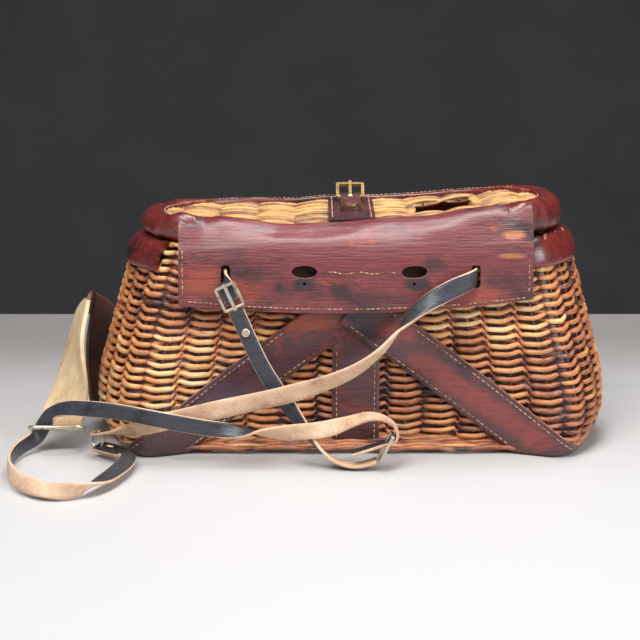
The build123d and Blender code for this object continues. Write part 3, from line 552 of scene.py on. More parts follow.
def woven_wall():
    """Long rods in front of one stake and behind the next, each climbing behind its neighbour."""
    rods = Rods(8)
    phase = SHARE * COLUMNS
    column = np.floor(phase).astype(int)
    local = phase - column - 0.5
    wave = np.sin(math.pi * phase)
    count = int((STRAND_HIGH_Z - STRAND_LOW_Z) / STRAND_PITCH) + 1
    near = on_wall(SHARE, 0.06, 0)
    left_side = 1 - smooth_step(-0.05, 0.05, near[:, 0])
    left_side = np.where(near[:, 1] < 0, left_side, 1 - left_side)
    for i in range(count):
        front = wave * (1 if (i + column[0]) % 2 == 0 else -1)
        ahead = front > 0
        shaped = np.sign(front) * np.abs(front) ** 0.55
        level = STRAND_LOW_Z + i * STRAND_PITCH
        size = np.array([rng.uniform(0.88, 1.1) for _ in range(COLUMNS)])[column]
        shift = np.array([rng.gauss(0, 0.28) for _ in range(COLUMNS)])
        shift = np.interp(phase, np.arange(COLUMNS + 1) + 0.5, np.append(shift, shift[0]))
        from_left = np.where(ahead, 1 - smooth_step(-0.55, 0.0, local), smooth_step(-0.5, 0.5, local))
        from_right = np.where(ahead, smooth_step(0.0, 0.55, local), 1 - smooth_step(-0.5, 0.5, local))
        climb = CLIMB * (left_side * from_left + (1 - left_side) * from_right)
        height = level - 1.0 + climb + shift
        depth = (WALL_MIDDLE - WALL_SWING * shaped + 0.25 * rng.gauss(0, 1)) * MM
        depth = np.maximum(depth, (size * FRONT_R + 0.05) * MM)
        centres = on_wall(SHARE, height * MM, depth)
        radii = (CROSS_R + (FRONT_R - CROSS_R) * np.minimum(1, 1.7 * np.abs(front))) * size * MM
        own = np.array([rng.gauss(0, 0.13) for _ in range(COLUMNS)])[column]
        tones = np.array([patch_tone(p) for p in centres]) + own
        # painted shade: a rod's tone darkens where it turns towards a stake, and more where it passes behind
        # it
        tones = tones - 0.30 * (1 - np.minimum(1, 1.6 * np.abs(front))) - np.where(ahead, 0, 0.35)
        x, y, z = centres.T
        # painted light: the rods under the hinge leather, seen through its holes, are made lighter
        painted_light_under_panel = (z > 0.132) & (y < -0.06) & (np.abs(x) < 0.142)
        tones = np.where(painted_light_under_panel, tones + 0.3, tones)
        rods.add(lean(centres), radii, tones, (0, 0, 1), closed=True)
    # painted shade: the stakes get the darkest tone
    for k in range(COLUMNS):
        heights = np.arange(6.0, 156.0, 5.0) * MM
        centres = on_wall(np.full(len(heights), (k + 0.5) / COLUMNS), heights, (WALL_MIDDLE + 0.6) * MM)
        rods.add(lean(centres), 1.6 * MM, 0.0, (0, 1, 0.01))
    # painted shade: a dark sheet deep in the weave makes the gaps between the rods read dark
    core = [lean(on_wall(SHARE, height * MM, CORE)) for height in np.arange(5.0, 157.0, 4.0)]
    for low, high in zip(core, core[1:]):
        rods.strip(low, high, -0.2)
    return rods.build("woven_wall_rods", wall_wicker)


def foot_border():
    """A rolled border: rods that climb over one another all the way round."""
    rods = Rods(9)
    strands = 4
    turns = 11
    for k in range(strands):
        angle = 2 * math.pi * (turns * SHARE + k / strands)
        depth = 4.6 + 2.2 * np.sin(angle)
        height = 4.9 + 2.1 * np.cos(angle)
        centres = on_wall(SHARE, height * MM, depth * MM)
        cloud = [noise.noise(Vector((x * 22, y * 22, k * 3.1))) for x, y, _ in centres]
        radii = (2.45 + 0.35 * np.sin(angle * 0.37 + k)) * MM
        rods.add(centres, radii, 0.46 + 0.30 * np.array(cloud), (0, 0, 1), closed=True)
    return rods.build("foot_border_rods", wall_wicker)


# ---- woven sheets
def reach(tree, y, z, sign):
    """How far a solid reaches along X on one side, or None beside it."""
    hit = tree.ray_cast(Vector((sign * 0.4, y, z)), Vector((-sign, 0, 0)))[0]
    return hit.x if hit else None


def woven_sheet(name, node, rod_r, pitch, stake_pitch, swing, material, tone, lift,
                hole=None, start_y=-1.0, rise=0.0):
    """Rods along X over and under stakes along Y, cut off at the sheet's outline and round its hole."""
    low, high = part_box(node)
    middle = (low.z + high.z) / 2
    cover = middle + lift * MM
    tree = tree_of(node)
    rods = Rods(7)
    count = int((high.y - low.y) / (pitch * MM))
    for i in range(count):
        y = low.y + (i + 0.5) * (high.y - low.y) / count
        if y < start_y:
            continue
        left, right = reach(tree, y, middle, -1), reach(tree, y, middle, 1)
        if left is None or right is None:
            continue
        pieces = [(left, right)]
        if hole and hole[2] < y < hole[3]:
            pieces = [(left, hole[0] + rng.uniform(-1.2, 0.4) * MM),
                      (hole[1] + rng.uniform(-0.4, 1.2) * MM, right)]
        for start, end in pieces:
            steps = max(3, int((end - start) / (3.2 * MM)))
            x = np.linspace(start + 0.001, end - 0.001, steps)
            wave = np.cos(math.pi * x / (stake_pitch * MM) + (math.pi if i % 2 else 0))
            z = cover + swing * MM * np.sign(wave) * np.abs(wave) ** 0.85
            z = z + rise * MM * smooth_step(0.095, 0.135, np.abs(x))
            wander = np.array([noise.noise(Vector((v * 30, y * 400, i * 1.7))) for v in x]) * 0.5 * MM
            centres = np.stack([x, y + wander, z], -1)
            tones = tone + 0.28 * np.array([noise.noise(Vector((v * 16, y * 60, 5.0))) for v in x])
            # painted shade: each rod darkens where it dips under a stake
            tones = tones + rng.gauss(0, 0.17) - 0.13 * (1 - wave)
            rods.add(lean(centres), rod_r * MM * (0.88 + 0.12 * np.abs(wave)), tones, (0, 0, 1))
    stakes = int(high.x / (stake_pitch * MM))
    for k in range(-stakes, stakes + 1):
        x = k * stake_pitch * MM
        lengths = [(low.y + 0.006, high.y - 0.006)]
        if hole and hole[0] < x < hole[1]:
            lengths = [(low.y + 0.006, hole[2]), (hole[3], high.y - 0.006)]
        for start, end in lengths:
            inside = [v for v in np.arange(start, end, 0.006)
                      if (reach(tree, v, middle, 1) or 0) > abs(x) + 0.003]
            if len(inside) > 2:
                centres = np.stack([np.full(len(inside), x), inside, np.full(len(inside), cover)], -1)
                # painted shade: the stakes, lying under the rods, get a darker tone
                rods.add(lean(centres), rod_r * 0.8 * MM, tone - 0.3, (0, 0, 1))
    return rods.build(name, material)


# ---- padded rolls
OUTLINE_POINTS = 260
LID_CORNER = [(-0.116, -0.0728), (-0.124, -0.0730), (-0.1310, -0.0716), (-0.1360, -0.0680),
              (-0.1395, -0.0620)]
SIDE_ROLL = [(18, 174.4), (16.5, 175.8), (13, 177.8), (8, 178.6), (3.4, 177.2), (0.0, 173.8), (-1.8, 168.8),
             (-1.2, 164.4), (2.5, 161.4), (8, 161.0), (13, 161.4), (17, 163.5), (18.5, 168.0), (18.6, 172.0)]
FAR_ROLL = [(10.8, 174.6), (9.8, 175.7), (8, 176.0), (6, 175.4), (3.2, 173.6), (1.0, 170.6), (0, 167.0),
            (0.6, 163.8), (3, 161.6), (5, 161.0), (7, 161.2), (9, 162.5), (10.6, 166.0), (11, 171.5)]


def even_line(points):
    """A line of evenly spaced points, with its corners eased."""
    line = np.array(points)
    line = points_at(line, np.linspace(0, distances(line)[-1], OUTLINE_POINTS))
    for _ in range(6):
        line[1:-1] = (line[:-2] + 2 * line[1:-1] + line[2:]) / 4
    return line


def beside(line):
    """The way off a flat line, to its right, at each of its points."""
    along = np.gradient(line, axis=0)
    along /= np.linalg.norm(along, axis=1, keepdims=True)
    return np.column_stack([along[:, 1], -along[:, 0]])


def lid_frames():
    """Places of the lid's outer line, from one end of the hinge round the front to the other, and inwards."""
    side = [(-(0.161 - 0.027 * t * t), -0.005 - 0.0696 * t) for t in np.linspace(0.75, 0, 10)]
    front = [(0.161 * math.cos(a), -0.005 + 0.078 * math.sin(a)) for a in np.linspace(math.pi, 0, 60)]
    left = LID_CORNER + side
    line = even_line(left + front[1:-1] + [(-x, y) for x, y in left[::-1]])
    return list(zip(line, beside(line)))


def lid_section(place, inward):
    """The roll's section at a place of the outline: full at the lid's ends, slim along its front."""
    full = float(smooth_step(0.100, 0.148, abs(place[0])))
    side, far = np.array(SIDE_ROLL), np.array(FAR_ROLL)
    section = side * full + far * (1 - full)
    flat = place + inward * section[:, :1] * MM
    return np.column_stack([flat, section[:, 1] * MM]), full


RIM_SECTION = [(-11.6, 150), (-11.9, 157), (-8.5, 160.2), (-3.5, 160.7), (1.0, 159.8), (5.2, 156.4),
               (8.6, 151), (10.6, 145.5), (11.2, 141.6), (10.2, 139.6), (8.4, 139.0), (6.6, 140.5),
               (3.0, 148), (-0.5, 156.5), (-8, 157.0), (-9.8, 150)]


def rim_outline():
    """The basket's rim from the left end of its roll round the front to the hinge leather."""
    side = [(-(0.164 - 0.026 * t * t), -0.005 - 0.069 * t) for t in np.linspace(0.72, 0, 10)]
    front = [(0.164 * math.cos(a), -0.005 + 0.080 * math.sin(a)) for a in np.linspace(math.pi, 0, 60)]
    left = [(-0.1385, -0.0700), (-0.1420, -0.0660), (-0.1455, -0.0600)] + side
    right = [(-x, y) for x, y in side[::-1]] + [(0.1455, -0.0610), (0.1415, -0.0675), (0.1360, -0.0715),
                                                (0.1300, -0.0730), (0.1240, -0.0732)]
    return even_line(left + front[1:-1] + right)


def swept_roll(name, sections, lumps):
    """A lumpy padded roll through sections of equal count, closed at both ends."""
    verts = []
    for section, lump in zip(sections, lumps):
        middle = section.mean(0)
        for point in section:
            out = (point - middle) / np.linalg.norm(point - middle)
            verts.append(point + out * noise.fractal(Vector(point) * 55, 0.9, 2.0, 3) * lump * MM)
    n = len(sections[0])
    faces = [(i * n + j, i * n + (j + 1) % n, (i + 1) * n + (j + 1) % n, (i + 1) * n + j)
             for i in range(len(sections) - 1) for j in range(n)]
    faces += [tuple(range(n)), tuple(range(len(sections) * n - 1, (len(sections) - 1) * n - 1, -1))]
    roll = make_object(name, lean(verts), faces, [roll_leather])
    return settle(roll, ("SUBSURF", {"levels": 1}))


def rim_roll_mesh():
    line = rim_outline()
    shape = np.array(RIM_SECTION)
    sections = [np.column_stack([place - way * shape[:, :1] * MM, shape[:, 1] * MM])
                for place, way in zip(line, beside(line))]
    return swept_roll("rim_roll", sections, np.full(len(line), 0.9))


def lid_roll_mesh():
    pairs = [lid_section(place, way) for place, way in lid_frames()]
    return swept_roll("lid_roll", [section for section, _ in pairs], [0.35 + 1.1 * full for _, full in pairs])


# ---- laps of the bands
def flat_lap(_x, _z):
    return 0.0


def over_lap(x, z):
    """The right band climbs over the left one where they cross."""
    return 0.0026 * float(1 - smooth_step(0.028, 0.050, x)) * float(smooth_step(0.060, 0.078, z))


def under_lap(_x, z):
    """The middle band goes in under the other two."""
    return -0.0016 * float(smooth_step(0.066, 0.084, z))


BAND_FACE = 0.0030
# sheet, node, top and foot as (x, z), width, rows, lap, first stitched point
BANDS = (("right_band_sheet", "diagonal_band_right", (0.0, 0.112), (0.150, 0.0), 0.034, 80, over_lap, 3),
         ("left_band_sheet", "diagonal_band_left", (0.0, 0.112), (-0.152, 0.0), 0.034, 80, flat_lap, 16),
         ("centre_band_sheet", "centre_band", (0.003, 0.100), (0.003, 0.0), 0.036, 50, under_lap, 15))


# ---- stitches
STITCH_RISE = 0.30


def stitch_run(rods, points, out, step=4.4, length=3.0, thick=0.46):
    """Short threads laid end to end along points; out is the way off the leather."""
    points = np.asarray(points, float)
    end = distances(points)[-1]
    lift = np.array([-0.25, STITCH_RISE * 0.8, STITCH_RISE, STITCH_RISE * 0.8, -0.25]) * MM
    at = 1.0 * MM
    while at + length * MM < end:
        stops = at + np.linspace(0, length * MM * rng.uniform(0.85, 1.08), 5)
        centres = points_at(points, stops) + np.asarray(out) * lift[:, None]
        rods.add(centres, np.array([0.7, 1, 1, 1, 0.7]) * thick * MM, 0.5, out)
        at += step * MM


def band_line(start, end, width, across, lap):
    """A line along a band, at a share of its half width."""
    start, end = Vector(start), Vector(end)
    run = (end - start).normalized()
    first = start + Vector((-run.y, run.x)) * (width / 2 * across)
    stop = (0.003 - first.y) / run.y
    line = [first + run * (stop * r / 60) for r in range(61)]
    return [(p.x, back_y(p.x, p.y) - (BAND_FACE - 0.0001) - lap(p.x, p.y), p.y) for p in line]


def basket_stitches():
    rods = Rods(5)
    near = (0, -1, 0)
    for _, _, top, foot, width, _, lap, first in BANDS:
        for across in (-0.80, 0.80):
            stitch_run(rods, band_line(top, foot, width, across, lap)[first:], near)
    xs = np.linspace(PANEL_LEFT + 0.002, PANEL_RIGHT - 0.002, 80)
    hem = [(x, panel_face_y(hem_z(x) + 0.003) - 0.0010, hem_z(x) + 0.003) for x in xs]
    stitch_run(rods, hem, near, 4.0)
    for x, top in ((PANEL_LEFT + 0.0030, 0.157), (PANEL_RIGHT - 0.0030, 0.152)):
        zs = np.linspace(hem_z(x) + 0.006, top, 20)
        stitch_run(rods, [(x, panel_face_y(z) - 0.0002, z) for z in zs], near)
    middle = [(x, panel_face_y(0.1385) - 0.0002, 0.1385 + 0.0008 * math.sin(x * 300))
              for x in np.linspace(-0.0195, 0.0355, 20)]
    stitch_run(rods, middle, near, 4.0)
    return rods.build("back_stitches", thread)


def lid_stitches():
    rods = Rods(5)
    seam = [lid_section(place, way)[0][1] + np.array([0, 0, 0.0002]) for place, way in lid_frames()]
    stitch_run(rods, lean(seam), (0, 0, 1), 3.6, 2.5, 0.42)
    low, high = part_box("lid_centre_band")
    for x in (low.x + 0.0028, high.x - 0.0028):
        ys = np.linspace(low.y + 0.002, high.y - 0.004, 20)
        stitch_run(rods, [(x, y, high.z + 0.0001) for y in ys], (0, 0, 1), 3.8)
    return rods.build("lid_stitches", thread)


# ---- sheets of leather
def grid_faces(rows, columns):
    return [(i * columns + j, i * columns + j + 1, (i + 1) * columns + j + 1, (i + 1) * columns + j)
            for i in range(rows - 1) for j in range(columns - 1)]


PANEL_LEFT, PANEL_RIGHT = -0.129, 0.134


def hem_z(x):
    """The height of the hinge leather's lower edge."""
    t = (x - PANEL_LEFT) / (PANEL_RIGHT - PANEL_LEFT)
    left, middle, right = 0.115, 0.1085, 0.118
    return left * (1 - t) * (1 - 2 * t) + 4 * middle * t * (1 - t) + right * t * (2 * t - 1)


PROFILE_Z = [0.104, 0.125, 0.140, 0.150, 0.157, 0.163, 0.168, 0.172, 0.1748, 0.1764]
PROFILE_Y = [-0.0856, -0.0852, -0.0845, -0.0832, -0.0812, -0.0784, -0.0750, -0.0708, -0.0662, -0.0600]


def panel_face_y(z):
    """The outer face of the hanging hinge leather."""
    return np.interp(z, PROFILE_Z, PROFILE_Y)


def panel_profile(x, steps_low, steps_high):
    """The hinge leather's outer face as (y, z), from its hem up and over the fold."""
    low = hem_z(x)
    seam = PROFILE_Z[4]
    points = [(panel_face_y(z) - 0.0012 * math.exp(-((z - low) / 0.006) ** 2), z)
              for z in np.linspace(low, seam, steps_low)]
    fold = smooth_line([(0, y, z) for y, z in zip(PROFILE_Y[4:], PROFILE_Z[4:])], 8)
    fold = np.array([(p.y, p.z) for p in fold])
    stops = np.linspace(0, distances(fold)[-1], steps_high)[1:]
    return points + [tuple(p) for p in points_at(fold, stops)]


def panel_point(x, y, z):
    """Unevenness of the hinge leather: soft waves, deeper near the fold."""
    depth = 0.0008 + 0.0012 * smooth_step(0.145, 0.175, z)
    wave = noise.noise(Vector((x * 24, 3.0, z * 30))) * depth
    lying = smooth_step(-0.076, -0.07, y)
    return (x, y + wave * (1 - lying), z + wave * lying)


def cutter(name, outline):
    """A block that cuts a hole of this outline through the hanging hinge leather."""
    n = len(outline)
    verts = [(x, y, z) for y in (-0.12, -0.0705) for x, z in outline]
    faces = [tuple(range(n)), tuple(range(2 * n - 1, n - 1, -1))]
    faces += [(i, i + n, (i + 1) % n + n, (i + 1) % n) for i in range(n)]
    return make_object(name, verts, faces, [raw_edge], smooth=False)


def oval(cx, cz, half_w, half_h, power=2.0, tilt=0.0):
    """The outline of an oval hole; the higher the power, the squarer it is."""
    out = []
    for a in np.arange(28) * 2 * math.pi / 28:
        x = math.copysign(abs(math.cos(a)) ** (2 / power), math.cos(a)) * half_w
        z = math.copysign(abs(math.sin(a)) ** (2 / power), math.sin(a)) * half_h
        out.append((cx + x * math.cos(tilt) - z * math.sin(tilt),
                    cz + x * math.sin(tilt) + z * math.cos(tilt)))
    return out


HOLES = [oval(-0.094, 0.1355, 0.0035, 0.0085, 5), oval(0.0915, 0.1355, 0.0035, 0.0085, 5),
         oval(-0.0355, 0.139, 0.0095, 0.0047, 2.2), oval(0.046, 0.139, 0.0095, 0.0047, 2.2, tilt=0.05),
         oval(-0.0355, 0.1300, 0.0012, 0.0016), oval(0.046, 0.1300, 0.0012, 0.0016)]


def hinge_sheet():
    """The hinge leather: a bent sheet with its two strap slots, two ovals and two small holes."""
    xs = np.linspace(PANEL_LEFT, PANEL_RIGHT, 133)
    profiles = [panel_profile(x, 30, 22) for x in xs]
    rows = len(profiles[0])
    points = [panel_point(x, *profile[r]) for r in range(rows) for x, profile in zip(xs, profiles)]
    sheet = make_object("hinge_leather_sheet", lean(points), grid_faces(rows, len(xs)),
                        [hinge_leather, raw_edge])
    settle(sheet, THICKENED)
    for i, outline in enumerate(HOLES):
        tool = cutter(f"cut{i}", outline)
        settle(sheet, ("BOOLEAN", {"operation": "DIFFERENCE", "object": tool, "solver": "EXACT"}))
        bpy.data.objects.remove(tool)
    shade_smooth(sheet)
    return settle(sheet, eased(0.0005))


def band_grid(start, end, width, rows, columns, lap):
    """Points of a straight band on the back, between two (x, z) places, ending level at the floor."""
    start, end = Vector(start), Vector(end)
    run = (end - start).normalized()
    side = Vector((-run.y, run.x))
    grid = []
    for r in range(rows):
        for c in range(columns):
            top = start + side * (width * (c / (columns - 1) - 0.5))
            p = top + run * ((0.001 - top.y) / run.y * r / (rows - 1))
            bump = 0.0005 * noise.noise(Vector((p.x * 60, p.y * 110, 2.0)))
            crown = BAND_FACE + lap(p.x, p.y) - 0.0006 * abs(2 * c / (columns - 1) - 1) ** 3
            grid.append((p.x, back_y(p.x, p.y) - crown + bump, p.y))
    return grid


def band_sheet(name, start, end, width, rows, lap):
    """A band of leather, thickened towards the wall, with its cut edges eased."""
    columns = 14
    points = band_grid(start, end, width, rows, columns, lap)
    faces = grid_faces(rows, columns)
    a, b, d = (Vector(points[k]) for k in (0, 1, columns))
    if (b - a).cross(d - a).y > 0:
        faces = [face[::-1] for face in faces]
    sheet = make_object(name, points, faces, [band_leather, raw_edge])
    settle(sheet, THICKENED, eased(0.0006))
    shade_smooth(sheet)
    return sheet


# ---- straps
GRAIN_OUT, GRAIN_IN = (0, -1, 0), (0, 1, -0.117)
GRAIN_UP, GRAIN_LEFT, GRAIN_RIGHT = (0, 0, 1), (-1, 0, 0), (1, 0, 0)
CARRY = [
    ((-89.2, -90.2, 118.6), GRAIN_OUT, 11), ((-92, -89.6, 124.5), GRAIN_OUT, 11),
    ((-94, -87.8, 130.5), (-0.25, -0.97, 0), 11), ((-94, -84, 135), GRAIN_LEFT, 12),
    ((-93.8, -79.6, 135.5), (-1, 0.2, 0), 12), ((-91.5, -77, 135.5), (-0.3, 0.95, -0.1)),
    ((-82, -76.8, 135.5), GRAIN_IN), ((-58, -76.6, 135.5), GRAIN_IN), ((-22, -76.1, 135.5), GRAIN_IN),
    ((24, -76.2, 135.5), GRAIN_IN), ((60, -76.6, 135.5), GRAIN_IN), ((80, -76.8, 135.5), GRAIN_IN),
    ((91, -77.2, 135.5), (0.6, 0.8, -0.09)), ((92, -84.5, 135.3), GRAIN_RIGHT),
    ((86, -91.5, 133.5), (0.6, -0.8, 0)), ((71.5, -94.5, 127.5), (0.1, -0.9, 0.2)),
    ((50.5, -96.5, 115.7), (-0.2, -0.6, 0.7)), ((33.5, -98.5, 97.5), (-0.3, 0.2, 0.9)),
    ((19.6, -101, 80.5), (-0.3, 0.5, 0.8)), ((-4, -105, 65), (-0.1, 0.8, 0.6)),
    ((-44, -111.5, 53), (0, 1, 0.2)), ((-92, -114.5, 43.5), (0, 1, 0.1)),
    ((-132, -113.5, 34), (0, 1, 0.2)), ((-160, -111, 26), (0.2, 0.8, 0.5)),
    ((-179, -101.5, 20), (0, 0.3, 0.9)), ((-191, -90.5, 17.5), GRAIN_UP),
]
LEFT = [
    ((-86, -92.4, 111.6), GRAIN_OUT), ((-81.5, -93.8, 101.5), GRAIN_OUT), ((-76, -95.5, 89.5), GRAIN_OUT),
    ((-68.5, -98, 73.5), GRAIN_OUT), ((-59.5, -100.5, 58.5), GRAIN_OUT), ((-49, -104, 44.5), (-0.2, -1, 0)),
    ((-38, -110, 30), (-0.5, -0.8, -0.2)), ((-27.5, -117.5, 16), (-0.8, -0.3, -0.6)),
    ((-14, -124, 5.5), (-0.4, -0.1, -0.9)), ((-1, -126.5, 2.6), (0, 0, -1)),
    ((10, -126.5, 3.6), (0.2, 0, -1)), ((17.6, -126.5, 6.9), (0.5, 0, -0.9)),
]
LONG = [
    ((-1, -126.5, 12), (-0.3, 0, 1)), ((11, -126.5, 15.5), (-0.3, 0, 1)),
    ((22, -126.5, 19.5), (-0.4, 0, 0.9)), ((31.3, -126.3, 21.5), (-0.8, 0, 0.6)),
    ((33.3, -126, 28.5), (-1, 0, 0.1)), ((27.5, -125.5, 37), (-0.7, 0, -0.7)),
    ((13, -124.5, 40.5), (0.1, 0.2, -1)), ((-2, -123.5, 35), (0.4, 0.5, -0.8)),
    ((-19, -122.5, 29), (0.2, 0.9, -0.3)), ((-44, -121.5, 26.5), (0, 1, 0.1)),
    ((-66, -121, 26), (0, 0.6, 0.8)), ((-84, -120.5, 26.5), (0, -0.6, 0.8)),
    ((-108, -120.5, 29.5), GRAIN_OUT), ((-142, -120.5, 36), GRAIN_OUT),
    ((-172, -114, 40.5), GRAIN_OUT), ((-198, -102, 39.5), (-0.2, -0.9, 0.3)),
    ((-214, -91.5, 37), (-0.1, -0.8, 0.6)), ((-225, -82, 32), (-0.1, -0.7, 0.7)),
    ((-232.5, -78.9, 21.5), (-0.1, -0.98, 0.1)), ((-237.5, -79.4, 11.5), (0.3, -0.9, 0.1)),
    ((-245.5, -90, 8.6), (0.85, -0.5, 0)), ((-251, -112, 8.2), GRAIN_RIGHT),
    ((-250, -147, 8), GRAIN_RIGHT), ((-238, -182, 7.8), (0.7, 0.6, -0.3)),
    ((-214, -203, 6.5), (0.3, 0.6, -0.8)), ((-190, -202, 6.5), (-0.3, 0.8, 0.4)),
    ((-175.5, -177, 7.6), (0.1, -0.1, 0.98)), ((-166.5, -148, 8.4), (0.3, -0.2, 0.93)),
    ((-163.5, -124, 9), (0.3, -0.3, 0.9)), ((-171, -108.5, 8), (0.1, -0.5, 0.85)),
    ((-191, -90.5, 7.5), (0, -0.4, 0.9)),
]
STRAP_T = 2.3


def strap(name, route, usual_width):
    """A flat strap along the route's line: black grain on one side, pale flesh and edges."""
    line = smooth_line([tuple(c * MM for c in stop[0]) for stop in route], 10)
    facings = [Vector(stop[1]).normalized() for stop in route]
    widths = [stop[2] if len(stop) > 2 else usual_width for stop in route]
    spans = len(route) - 2
    count = len(line)
    # across the strap: (place over half the width, place over half the thickness), anticlockwise
    half = [(-1, 0.55), (-0.94, 0.95), (-0.5, 1.0), (0, 1.0), (0.5, 1.0), (0.94, 0.95), (1, 0.55),
            (1, -0.55), (0.94, -0.95), (0.5, -1.0), (0, -1.0), (-0.5, -1.0), (-0.94, -0.95), (-1, -0.55)]
    verts, faces, slots = [], [], []
    for i, centre in enumerate(line):
        f = i / (count - 1) * spans
        stop = 1.5 * f if f < 1 else (f + 0.5 if f < spans - 1 else spans - 0.5 + 1.5 * (f - spans + 1))
        k = min(int(stop), len(route) - 2)
        t = stop - k
        facing = facings[k] * (1 - t) + facings[k + 1] * t
        width = widths[k] * (1 - t) + widths[k + 1] * t
        along = (line[min(i + 1, count - 1)] - line[max(i - 1, 0)]).normalized()
        across = along.cross(facing).normalized()
        out = across.cross(along).normalized()
        wobble = 1 + 0.03 * noise.noise(centre * 60)
        for a, b in half:
            verts.append(centre + across * (a * width / 2 * MM * wobble) + out * (b * STRAP_T / 2 * MM))
    n = len(half)
    for i in range(count - 1):
        for j in range(n):
            faces.append((i * n + j, i * n + (j + 1) % n, (i + 1) * n + (j + 1) % n, (i + 1) * n + j))
            slots.append(0 if 1 <= j <= 4 else 1)
    faces.append(tuple(range(n)))
    faces.append(tuple(range(count * n - 1, (count - 1) * n - 1, -1)))
    slots += [1, 1]
    obj = make_object(name, verts, faces, [black_leather, flesh_leather], slots)
    return obj, line, sum((b - a).length for a, b in zip(line, line[1:]))


for name, route, width, node in (("carry_strap", CARRY, 14.0, "strap_carry"),
                                 ("left_strap", LEFT, 12.0, "strap_left"),
                                 ("long_strap", LONG, 12.0, "strap_long")):
    obj, line, length = strap(name, route, width)
    dress(obj, "basket", "strap_leather", node)


# ---- shoulder pad
PAD_EDGES = [
    ((-239, -71.5, 17.8), (-206, -71.9, 17.8)), ((-234, -57, 30), (-200, -67, 35)),
    ((-229, -28, 42.5), (-202.5, -63, 58)), ((-224.5, -6, 60.5), (-205.7, -56, 74)),
    ((-220, 8, 78.4), (-205.6, -46, 87)), ((-217, 18, 92), (-203.5, -36, 99)),
    ((-207, 32, 100), (-202, -24, 113)), ((-194, 44, 91), (-199, -13, 108)),
    ((-185.5, 54, 72), (-205, 2, 87)), ((-185, 65, 48), (-211, 16, 60)),
    ((-184, 72, 24), (-211, 22, 30)), ((-183, 78, 1.2), (-209, 28, 1.2)),
]
PAD_T = 0.0030
PAD_FOLD_ROW = 33


def shoulder_pad():
    """The folded pad, with the width and length of its sheet."""
    a_line = smooth_line([tuple(c * MM for c in a) for a, _ in PAD_EDGES], 6)
    b_line = smooth_line([tuple(c * MM for c in b) for _, b in PAD_EDGES], 6)
    rows, columns = len(a_line), 15
    points = [a.lerp(b, c / (columns - 1)) for a, b in zip(a_line, b_line) for c in range(columns)]
    faces = grid_faces(rows, columns)
    slots = [0 if i // (columns - 1) < PAD_FOLD_ROW else 1 for i in range(len(faces))]
    pad = make_object("shoulder_pad_leather", points, faces, [pad_flesh, brown_leather, brown_leather], slots)
    settle(pad, ("SOLIDIFY", {"thickness": PAD_T, "offset": 0.0, "use_rim": True, "material_offset": 1,
                              "material_offset_rim": 0}), eased(0.0007))
    shade_smooth(pad)
    middle = [a.lerp(b, 0.5) for a, b in zip(a_line, b_line)]
    length = sum((q - p).length for p, q in zip(middle, middle[1:]))
    width = sum((b - a).length for a, b in zip(a_line, b_line)) / rows
    return pad, width, length


pad, pad_width, pad_length = shoulder_pad()
dress(pad, "basket", "pad_leather", "shoulder_pad")


# ---- build the basket
FISH_HOLE = (0.0515, 0.0925, -0.020, 0.032)
dress(woven_wall(), "basket", "wicker", "woven_wall")
dress(foot_border(), "basket", "wicker_border", "foot_border")
dress(woven_sheet("woven_base_rods", "woven_base", rod_r=1.9, pitch=3.9, stake_pitch=27.0, swing=1.0,
                  material=wall_wicker, tone=0.36, lift=0.6), "basket", "wicker", "woven_base")
dress(woven_sheet("lid_weave_rods", "lid_panel", rod_r=1.12, pitch=2.75, stake_pitch=29.0, swing=1.7,
                  material=lid_wicker, tone=0.52, lift=1.7, hole=FISH_HOLE, start_y=-0.0615, rise=1.8),
      "lid", "wicker_lid", "lid_panel")
dress(rim_roll_mesh(), "basket", "binding_leather", "rim_binding")
dress(lid_roll_mesh(), "lid", "binding_leather", "lid_binding")
for name, node, top, foot, width, rows, lap, _ in BANDS:
    dress(band_sheet(name, top, foot, width, rows, lap), "basket", "band_leather", node)
for obj, body in ((basket_stitches(), "basket"), (lid_stitches(), "lid")):
    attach(obj, body)
panel = hinge_sheet()
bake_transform(panel)
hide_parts("back_panel", "hinge_flap")

for material, nodes in (
        (band_leather, ("lid_centre_band", "buckle_chape", "closing_strap_anchor", "closing_strap")),
        (brass, ("chape_eyelet", "lid_buckle_frame", "lid_buckle_tongue")),
        (nickel, ("upper_buckle_frame", "upper_buckle_tongue", "lower_buckle_frame", "lower_buckle_tongue",
                  "pad_loop", "strap_ring")),
        (copper, ("strap_rivets",))):
    for node in nodes:
        cad[node].data.materials.clear()
        cad[node].data.materials.append(material)


# ---- table, wall and light
FLOOR_Z, FLOOR_END, BACKDROP_Y = -0.0002, 0.43, 4.0


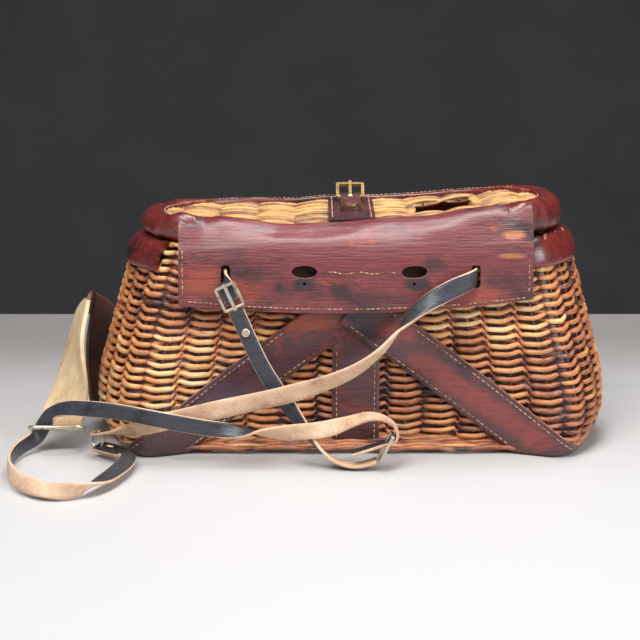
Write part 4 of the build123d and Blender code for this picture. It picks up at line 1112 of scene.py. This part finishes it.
def stage():
    """The pale table, with painted shade darkening it towards the back, and, far behind it, the dark
    backdrop.
    """
    m = Nodes("table_top")
    place = m.add("ShaderNodeSeparateXYZ", {0: m.coords()})
    # painted shade: the table's colour darkens from front to back
    depth = m.span(place.outputs[1], -0.30, 0.42, 0.0, 1.0)
    cloud = m.calc("MULTIPLY_ADD", m.noise(m.place((1, 2.5, 1)), 9.0, 7.0, 0.6), 0.22, depth)
    floor_material = m.finish(m.ramp(cloud, [(0.25, srgb(194, 193, 193)), (0.62, srgb(180, 178, 177)),
                                             (1.05, srgb(138, 135, 133))]), 0.5)
    w = Nodes("dark_wall")
    cloud = w.noise(w.place(), 4.0, 4.0)
    wall_material = w.finish(w.ramp(cloud, [(0.3, srgb(68, 67, 69)), (0.7, srgb(75, 74, 76))]), 0.9)
    z = FLOOR_Z
    floor = make_object("floor", [(-6, -6, z), (6, -6, z), (6, FLOOR_END, z), (-6, FLOOR_END, z)],
                        [(0, 1, 2, 3)], [floor_material], smooth=False)
    y = BACKDROP_Y
    back = make_object("backdrop", [(-14, y, -6), (14, y, -6), (14, y, 10), (-14, y, 10)],
                       [(0, 1, 2, 3)], [wall_material], smooth=False)


def area_light(name, place, target, size, power, colour=(1, 1, 1)):
    data = bpy.data.lights.new(name, "AREA")
    data.shape = "RECTANGLE"
    data.size, data.size_y = size
    data.energy = power
    data.color = colour
    lamp = bpy.data.objects.new(name, data)
    lamp.location = place
    lamp.rotation_euler = (Vector(target) - Vector(place)).to_track_quat("-Z", "Y").to_euler()
    bpy.context.scene.collection.objects.link(lamp)


def lights():
    area_light("key", (-0.7, -1.2, 1.7), (0, 0, 0.08), (0.9, 0.7), 27, (1, 0.98, 0.95))
    area_light("fill", (1.4, -1.1, 0.9), (0, 0, 0.08), (0.9, 0.9), 22, (0.97, 0.97, 1))
    area_light("top", (0.1, -0.1, 1.5), (0, -0.05, 0.1), (1.5, 0.5), 24)
    world = bpy.data.worlds.new("world")
    world.use_nodes = True
    sockets = world.node_tree.nodes["Background"].inputs
    sockets["Color"].default_value = (0.80, 0.82, 0.86, 1)
    sockets["Strength"].default_value = 0.35
    bpy.context.scene.world = world


stage()
lights()
bpy.context.scene.view_settings.view_transform = "Standard"
